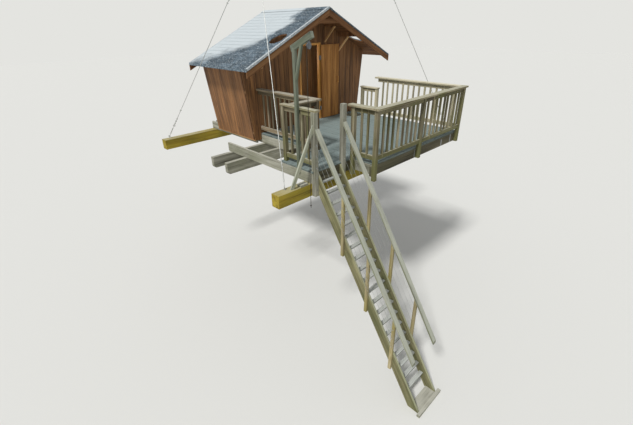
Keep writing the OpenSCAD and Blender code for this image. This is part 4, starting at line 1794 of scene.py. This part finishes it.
@dataclass
class Roof(Assembly):
    """The gable roof: shingles on boards, rake boards, lookouts, braces and edge strips."""

    tab: float = 160
    course: float = 143
    plank: Pair = (140, 22)
    plank_gap: float = 3
    plank_top: float = -27
    planks: int = 18
    felt_fold: float = 2.5
    # width of the pale strip of painted highlight on top of the left rake
    highlight_strip: float = 48
    nails: int = 24
    cap_wide: float = 118
    cap_long: float = 236
    rake_t: float = 25
    rake_drop: float = 120
    tie_z: Pair = (2600, 2690)
    tie_t: float = 34
    brace_d: tuple[float, ...] = (-1460, -600, 520, 1020)
    lookout: Pair = (22, 90)
    knee_half: float = 18
    knee_reach: Pair = (300, 350)

    def on_slope(self, mesh: Mesh, sign: int) -> Mesh:
        """Put a mesh on a slope. Its own X runs down from the ridge, and Z stands square on it.

        Args:
            mesh: the mesh, in the slope's own axes.
            sign: -1 for the left slope, which is the right one mirrored, and 1 for the right.

        Returns:
            The same mesh, in place, with its faces outward.
        """
        p = self.plan
        place = turned(math.degrees(p.roof_angle), (p.ridge_x, 0, p.ridge_z), "Y")
        if sign < 0:
            over = Matrix.Translation(Vector((2 * p.ridge_x * MM, 0, 0)))
            place = over @ Matrix.Scale(-1, 4, ALONG_X) @ place
        mesh.transform(place)
        outward(mesh, mesh)
        return mesh

    def build(self) -> None:
        """Build both slopes and the timber under them."""
        p, (wide, thick), top = self.plan, self.plank, self.plank_top
        length = p.roof_half / math.cos(p.roof_angle)
        for sign, side in ((-1, "left"), (1, "right")):
            node = f"roof_{side}"
            mesh = cut_to(self.on_slope(self.courses(length, sign), sign), node)
            self.show(f"{node}_shingles", mesh, SLATE_FELT, "roof_felt", node)
            plank = Sticks(73)
            plank.box(14, 14 + wide, p.roof_f + 6, p.roof_b - 6, top - thick, top)
            step = (wide + self.plank_gap, 0, 0)
            boards = row(plank, ROOF_TIMBER, self.planks, step, seed=73 + sign)
            mesh = cut_to(self.on_slope(boards, sign), node)
            self.show(f"{node}_sheathing", mesh, ROOF_TIMBER, "roof_timber")
        self.edges(length)
        self.ridge_cap()
        self.rakes()
        self.braces()

    def courses(self, length: float, sign: int) -> Mesh:
        """Lay the shingles of one slope, with the felt under them.

        Args:
            length: from the ridge down to the eave, mm.
            sign: -1 for the left slope, 1 for the right.

        Returns:
            The field before it is cut to the roof's outline.
        """
        p = self.plan
        rows = math.ceil(length / self.course) + 1
        columns = math.ceil((p.roof_b - p.roof_f) / self.tab) + 2
        tab, y = Sticks(71), p.roof_f - 100
        butt = length - 6
        head, under, head_z, butt_z = butt - self.course + 0.5, -14, -10.5, -5
        outline = [(head, y, under), (butt, y, under), (butt, y, butt_z), (head, y, head_z)]
        tab.plate(outline, (0, self.tab - 4, 0), (1, 0, 0))
        field = row(
            tab, SLATE_FELT, columns, (0, self.tab, 0), rows, (-self.course, 0, 0),
            stagger=(0, self.tab / 2, 0), play=(0, 1.2, 0.9), seed=71 + sign,
        )
        base = Sticks(72)
        base.box(-40, length - 10, p.roof_f + 3, p.roof_b - 3, -26, -15)
        return joined([field, base.mesh()])

    def edges(self, length: float) -> None:
        """Turn the felt down over the rakes and eaves, and set its nails.

        Args:
            length: from the ridge down to the eave, mm.
        """
        p, fold = self.plan, self.felt_fold
        nails, eaves = [], Sticks(78)
        for side, sign, finish in (("left", -1, HIGHLIGHT_FELT), ("right", 1, SLATE_FELT)):
            felt = Sticks(74)
            for y in (p.roof_f - fold, p.roof_b):
                felt.box(4, length, y, y + fold, -40, -6)
            # on the left rake the pale strip on top and the one on the edge's face are painted
            # highlight
            if finish is HIGHLIGHT_FELT:
                y, end = p.roof_f, length - 2
                felt.box(4, end, y - fold, y + self.highlight_strip, 0.4, 2.6)
                felt.box(4, end, y - 2.6, y - 0.3, -34, 2.5)
            edge, top = p.ridge_x + sign * p.roof_half, p.eave_z - 3
            foot = p.eave_z - p.roof_v - 1
            eaves.box(edge - 1.5, edge + 1.5, p.roof_f, p.roof_b, foot, top)
            mesh = self.on_slope(felt.mesh(), sign)
            self.show(f"felt_fold_{side}", mesh, finish, "roof_felt")
            for i in range(1, self.nails):
                way = i * length / self.nails
                x = p.ridge_x + sign * (way * math.cos(p.roof_angle) - 9)
                z = p.ridge_z - way * math.sin(p.roof_angle) - 25
                nails.append((x, p.roof_f - 3.5, z))
        self.show("felt_eaves", eaves, SLATE_FELT, "roof_felt")
        self.show("felt_nails", heads(nails, (0, -1, 0), 6, 3), GALVANISED, "zinc_steel")

    def ridge_cap(self) -> None:
        """Lay the caps over the ridge, half on each slope."""
        y, wide, long = self.plan.roof_f, self.cap_wide, self.cap_long
        parts = []
        for sign in (-1, 1):
            one = Sticks(75)
            outline = [(0, y, -3), (wide, y, -3.2), (wide, y, 0.6), (0, y, 1)]
            one.plate(outline, (0, long, 0), (0, 1, 0))
            step = (0, long + 2, 0)
            cap = row(one, SLATE_FELT, 10, step, play=(1, 0, 0.3), seed=75)
            parts.append(self.on_slope(cap, sign))
        self.show("ridge_cap", joined(parts), SLATE_FELT, "roof_felt")

    def rakes(self) -> None:
        """Build the rake boards, with the tie behind the front ones."""
        p, mid = self.plan, self.plan.ridge_x
        lower = p.roof_v + self.rake_drop
        rake = Sticks(76)
        for y in (p.roof_f, p.roof_b - self.rake_t):
            for sign in (-1, 1):
                end = mid + sign * p.roof_half
                corners = [(mid, p.soffit(mid)), (end, p.soffit(end))]
                corners += [(end, p.eave_z - lower), (mid, p.ridge_z - lower)]
                outline = [(x, y, z) for x, z in corners]
                rake.plate(outline, (0, self.rake_t, 0), (sign, 0, -p.slope), 0.55)
        y, (low, high) = p.roof_f + self.rake_t + 0.5, self.tie_z
        wide, narrow = [(p.soffit(mid) - z) / p.slope for z in (low, high)]
        corners = ((-wide, low), (-narrow, high), (narrow, high), (wide, low))
        tie = [(mid + dx, y, z) for dx, z in corners]
        rake.plate(tie, (0, self.tie_t, 0), (1, 0, 0), 0.6)
        self.show("rake_boards_stained", rake, ROOF_TIMBER, "roof_timber", "rake_boards")

    def braces(self) -> None:
        """Build the lookouts under the overhang and the knee braces that carry them."""
        p, (half, deep), (near, far) = self.plan, self.lookout, self.knee_reach
        y = p.roof_f + 61
        outs, knees = Sticks(77), Sticks(78)
        for d in self.brace_d:
            x, foot = p.ridge_x + d, p.soffit(p.ridge_x + d) - deep
            a, b = x - half, x + half
            outline = [(a, y, p.soffit(a)), (b, y, p.soffit(b)), (b, y, foot), (a, y, foot)]
            outs.plate(outline, (0, p.wall_y - y, 0), (0, 1, 0))
            corners = ((-far, 0), (-near, 0), (0, -near), (0, -far))
            outline = [(x - self.knee_half, p.wall_y + dy, foot + dz) for dy, dz in corners]
            knees.plate(outline, (2 * self.knee_half, 0, 0), (0, 1, -1), 0.9)
        self.show("lookouts_stained", outs, ROOF_TIMBER, "roof_timber", "lookouts")
        self.show("knee_braces_planed", knees, LINING, "roof_timber", "knee_braces")


@dataclass
class Door(Assembly):
    """The door leaf with its ledges, pull and hinges."""

    body: str = "door"
    leaf_w: float = 636
    leaf_h: float = 1778
    leaf_t: float = 35
    board_t: float = 22
    boards: int = 6
    gap: float = 2
    pin: Pair = (1560, 547.5)
    ledge_z: Point = (210, 900, 1560)
    ledge_half: float = 50
    pull_z: Pair = (860, 990)

    def build(self) -> None:
        """Build the boards and ledges of the leaf and its pull, and dress the hinges."""
        p, wide, n = self.plan, self.leaf_w, self.boards
        x0, y0 = self.pin[0] + 15, self.pin[1] - self.leaf_t / 2
        z0, r = p.deck_z + 12, self.ledge_half
        board = (wide - (n - 1) * self.gap) / n
        x, y = x0 + board / 2, y0 + self.board_t / 2
        one = Sticks(81)
        one.stick((x, y, z0), (x, y, z0 + self.leaf_h), planed(board, self.board_t, 2), ALONG_Y)
        boards = row(one, DOOR_BOARD, n, (board + self.gap, 0, 0), seed=81)
        ledges, y = Sticks(82), y0 + self.board_t
        for z in (z0 + up for up in self.ledge_z):
            ledges.box(x0 + 25, x0 + wide - 25, y, y0 + self.leaf_t, z - r, z + r, 0.4)
        mesh = joined([boards, ledges.mesh()])
        self.show("door_leaf_boards", mesh, DOOR_BOARD, "door_boards", "door_leaf")
        pull, x = Sticks(83), x0 + wide - 50
        for z in (z0 + up for up in self.pull_z):
            pull.box(x - 8, x + 8, y0 - 22, y0, z - 8, z + 8, 0.5)
        low, high = z0 + self.pull_z[0] - 20, z0 + self.pull_z[1] + 20
        pull.box(x - 9, x + 9, y0 - 34, y0 - 21, low, high, 0.5)
        self.show("door_pull", pull, CEDAR_TRIM, "cedar_trim")
        for node in ("door_hinges", "leaf_knuckles"):
            dress(node, GALVANISED)


@dataclass
class Hoist(Assembly):
    """The hoist at the landing: post, arm, brace, block, rope and knot."""

    post: Point = (-1313, -1790, 58)
    post_top: float = 2290
    arm: tuple[Point, Point] = ((-1278, -1695, 2270), (-1326, -2215, 2476))
    strut: tuple[Point, Point] = ((-1290, -1786, 1824), (-1308, -1960, 2360))
    rope_r: float = 6
    strands: int = 3
    lay: float = 42
    knot_r: float = 8.5
    rope_y: float = -2134
    route: tuple[Pair, ...] = (
        (-1368, 2330), (-1368, 2240), (-1368, 2080), (-1368, 1900),
        (-1368, 1700), (-1369, 1500), (-1369, 1300), (-1369, 1100),
        (-1368, 900), (-1368, 700), (-1367, 500), (-1367, 300),
        (-1367, 140), (-1367, 0), (-1367, -130), (-1367, -250),
    )

    def rope(self) -> None:
        strands = (self.rope_r, self.strands, self.lay)
        route = [(x, self.rope_y, z) for x, z in self.route]
        mesh = laid(route, DARK_ROPE, *strands, 9, 15)
        rope = self.show("hoist_rope_laid", mesh, DARK_ROPE, "hemp_rope", "hoist_rope")
        x, y, z = route[-1]
        # the knot is two and a half turns, a point every thirty degrees, over the rope's end
        turns = []
        for i in range(31):
            angle = i / 12 * math.tau
            dx, dy = self.knot_r * math.cos(angle), self.knot_r * math.sin(angle)
            turns.append((x + dx, y + dy, z - 5 - 15 * i / 36))
        coil = laid(turns, DARK_ROPE, *strands, 4, 12)
        end = [(x, y, z + 1), (x, y, z - 25), (x + 1, y, z - 59)]
        tail = laid(end, DARK_ROPE, *strands, 6, 12)
        mesh = joined([coil, tail])
        knot = self.show("rope_end_knot", mesh, DARK_ROPE, "hemp_rope", "rope_knot")

    def build(self) -> None:
        """Build the timber of the hoist and dress its block."""
        p, wood = self.plan, Sticks(91)
        x, y, s = self.post
        foot = p.deck_z - 120
        wood.box(x, x + s, y, y + s, p.deck_z, self.post_top, 0.7)
        wood.box(x, p.left_x, y, y + s, foot, p.deck_z, 0.5)
        wood.stick(*self.arm, planed(50, 90, 4), tone=0.6)
        wood.stick(*self.strut, planed(36, 50), tone=0.85)
        self.show("davit_timber", wood, GREEN_SPRUCE, "grey_timber", "davit")
        dress("davit_block", BLOCK_STEEL)


@dataclass
class Stays(Assembly):
    """The three wire stays: laid rope, and the nuts of the clips on it."""

    runs: tuple[tuple[str, Point, Point], ...] = (
        ("front_cable", (-1780, -1930, 120), (-760, -330, 3160)),
        ("rear_cable", (-1780, 2600, 120), (-700, 745, 3140)),
        ("far_cable", (3700, -1950, 120), (3000, -450, 3160)),
    )
    bolt_up: float = 50
    rope_r: float = 7
    rope_from: float = 366
    rope_short: float = 23
    clips_up: tuple[float, ...] = (411, 481, 551, 811)
    clips_down: Point = (179, 109, 49)
    nut_side: float = 9
    nut_out: float = 13

    def build(self) -> None:
        """Dress the stays' solids, and add the strands and the clips' nuts."""
        for name, a, b in self.runs:
            dress(name, WIRE)
            foot, head = Vector(a) + UP * self.bolt_up, Vector(b)
            way, length = (head - foot).normalized(), (head - foot).length
            side = way.cross(UP).normalized()
            out = way.cross(side)
            ends = [foot + way * d for d in (self.rope_from, length - self.rope_short)]
            parts = [laid(ends, WIRE, self.rope_r, 6, 60, 12, 18)]
            for d in (*self.clips_up, *(length - down for down in self.clips_down)):
                spot = foot + way * d
                for s in (-1, 1):
                    nut = spot + side * self.nut_side * s + out * self.nut_out
                    parts.append(heads([tuple(nut)], tuple(out), 5, 8, 6))
            self.show(f"{name}_strands", joined(parts), WIRE, "wire_rope")


# Studio


@dataclass(frozen=True)
class Studio:
    """The camera at the photograph's angle, a pale floor and soft light."""

    level: float
    eye: Point = (-5200, -6310, 2618)
    heading: Pair = (0.6885, 0.7253)
    pitch: float = 28.083
    roll: float = -1.153
    focal_px: float = 355.52
    width_px: float = 633
    sensor: float = 36
    floor: str = "#dcdbd6"
    sky: str = "#e9ecef"
    sky_strength: float = 0.5
    backdrop: str = "#e4e4e0"
    sun_from: Point = (-1, -0.2, 1.35)
    sun_strength: float = 2.6
    sun_angle: float = 9
    cabin_lamp: Point = (1220, 1150, 1750)
    cabin_watts: float = 11
    reach: float = 90000

    def camera(self) -> None:
        """Place the camera."""
        pitch, roll = math.radians(self.pitch), math.radians(self.roll)
        flat = Vector((*self.heading, 0)).normalized()
        look = flat * math.cos(pitch) - UP * math.sin(pitch)
        right = Vector((flat.y, -flat.x, 0))
        over = right.cross(look)
        tilted = right * math.cos(roll) + over * math.sin(roll)
        over = over * math.cos(roll) - right * math.sin(roll)
        data = bpy.data.cameras.new("camera")
        data.sensor_width = self.sensor
        data.lens = self.focal_px * self.sensor / self.width_px
        data.clip_end = 500
        turn = Matrix((tilted, over, -look)).transposed().to_4x4()
        camera = holder(data, "camera")
        camera.matrix_world = Matrix.Translation(Vector(self.eye) * MM) @ turn
        bpy.context.scene.camera = camera

    def light(self) -> None:
        """Set a broad high light from the left, a soft lamp in the cabin and a pale sky."""
        sun = bpy.data.lights.new("high_softbox", "SUN")
        sun.energy = self.sun_strength
        sun.angle = math.radians(self.sun_angle)
        turn = Vector(self.sun_from).to_track_quat("Z", "Y").to_matrix().to_4x4()
        holder(sun, "high_softbox").matrix_world = turn
        lamp = bpy.data.lights.new("cabin_lamp", "POINT")
        lamp.energy = self.cabin_watts
        lamp.shadow_soft_size = 0.25
        holder(lamp, "cabin_lamp").location = Vector(self.cabin_lamp) * MM
        world = bpy.data.worlds.new("studio")
        world.use_nodes = True
        tree = world.node_tree
        tree.nodes.clear()
        lit, shown = [
            add(tree, "ShaderNodeBackground", {"Color": linear(code), "Strength": strength})
            for code, strength in ((self.sky, self.sky_strength), (self.backdrop, 1))
        ]
        # the eye, and what mirrors and glass show, meet the backdrop; all else is lit by the sky
        rays = add(tree, "ShaderNodeLightPath").outputs
        share = rays["Is Camera Ray"]
        for kind in ("Is Glossy Ray", "Is Transmission Ray"):
            share = add(tree, MATH, {0: share, 1: rays[kind]}, operation="MAXIMUM")
        mix = add(tree, "ShaderNodeMixShader", {0: share, 1: lit, 2: shown})
        add(tree, "ShaderNodeOutputWorld", {0: mix})
        bpy.context.scene.world = world

    def ground(self) -> None:
        """Lay the pale floor at its level, just under the object."""
        mesh, r, z = bpy.data.meshes.new("floor"), self.reach, self.level
        corners = [(-r, -r, z), (r, -r, z), (r, r, z), (-r, r, z)]
        mesh.from_pydata(scaled(corners), [], [(0, 1, 2, 3)])
        material = bpy.data.materials.new("studio_floor_painted")
        material.use_nodes = True
        shader = material.node_tree.nodes["Principled BSDF"]
        shader.inputs["Base Color"].default_value = linear(self.floor)
        shader.inputs["Roughness"].default_value = 0.9
        mesh.materials.append(material)
        holder(mesh, "floor")

    def build(self) -> None:
        """Set up the whole studio."""
        self.camera()
        self.light()
        self.ground()


def main() -> None:
    """Build the studio and every sub-assembly."""
    logging.basicConfig(level=logging.INFO, format="%(message)s")
    plan = Plan()
    bpy.context.scene.view_settings.view_transform = "Standard"
    Studio(plan.ground_z - 2).build()
    hoist = Hoist(plan)
    hoist.rope()
    others = (BeamFrame, Decks, Railings, Stair, Cabin, Roof, Door, Stays)
    for maker in (hoist, *(kind(plan) for kind in others)):
        maker.build()


if __name__ == "__main__":
    main()
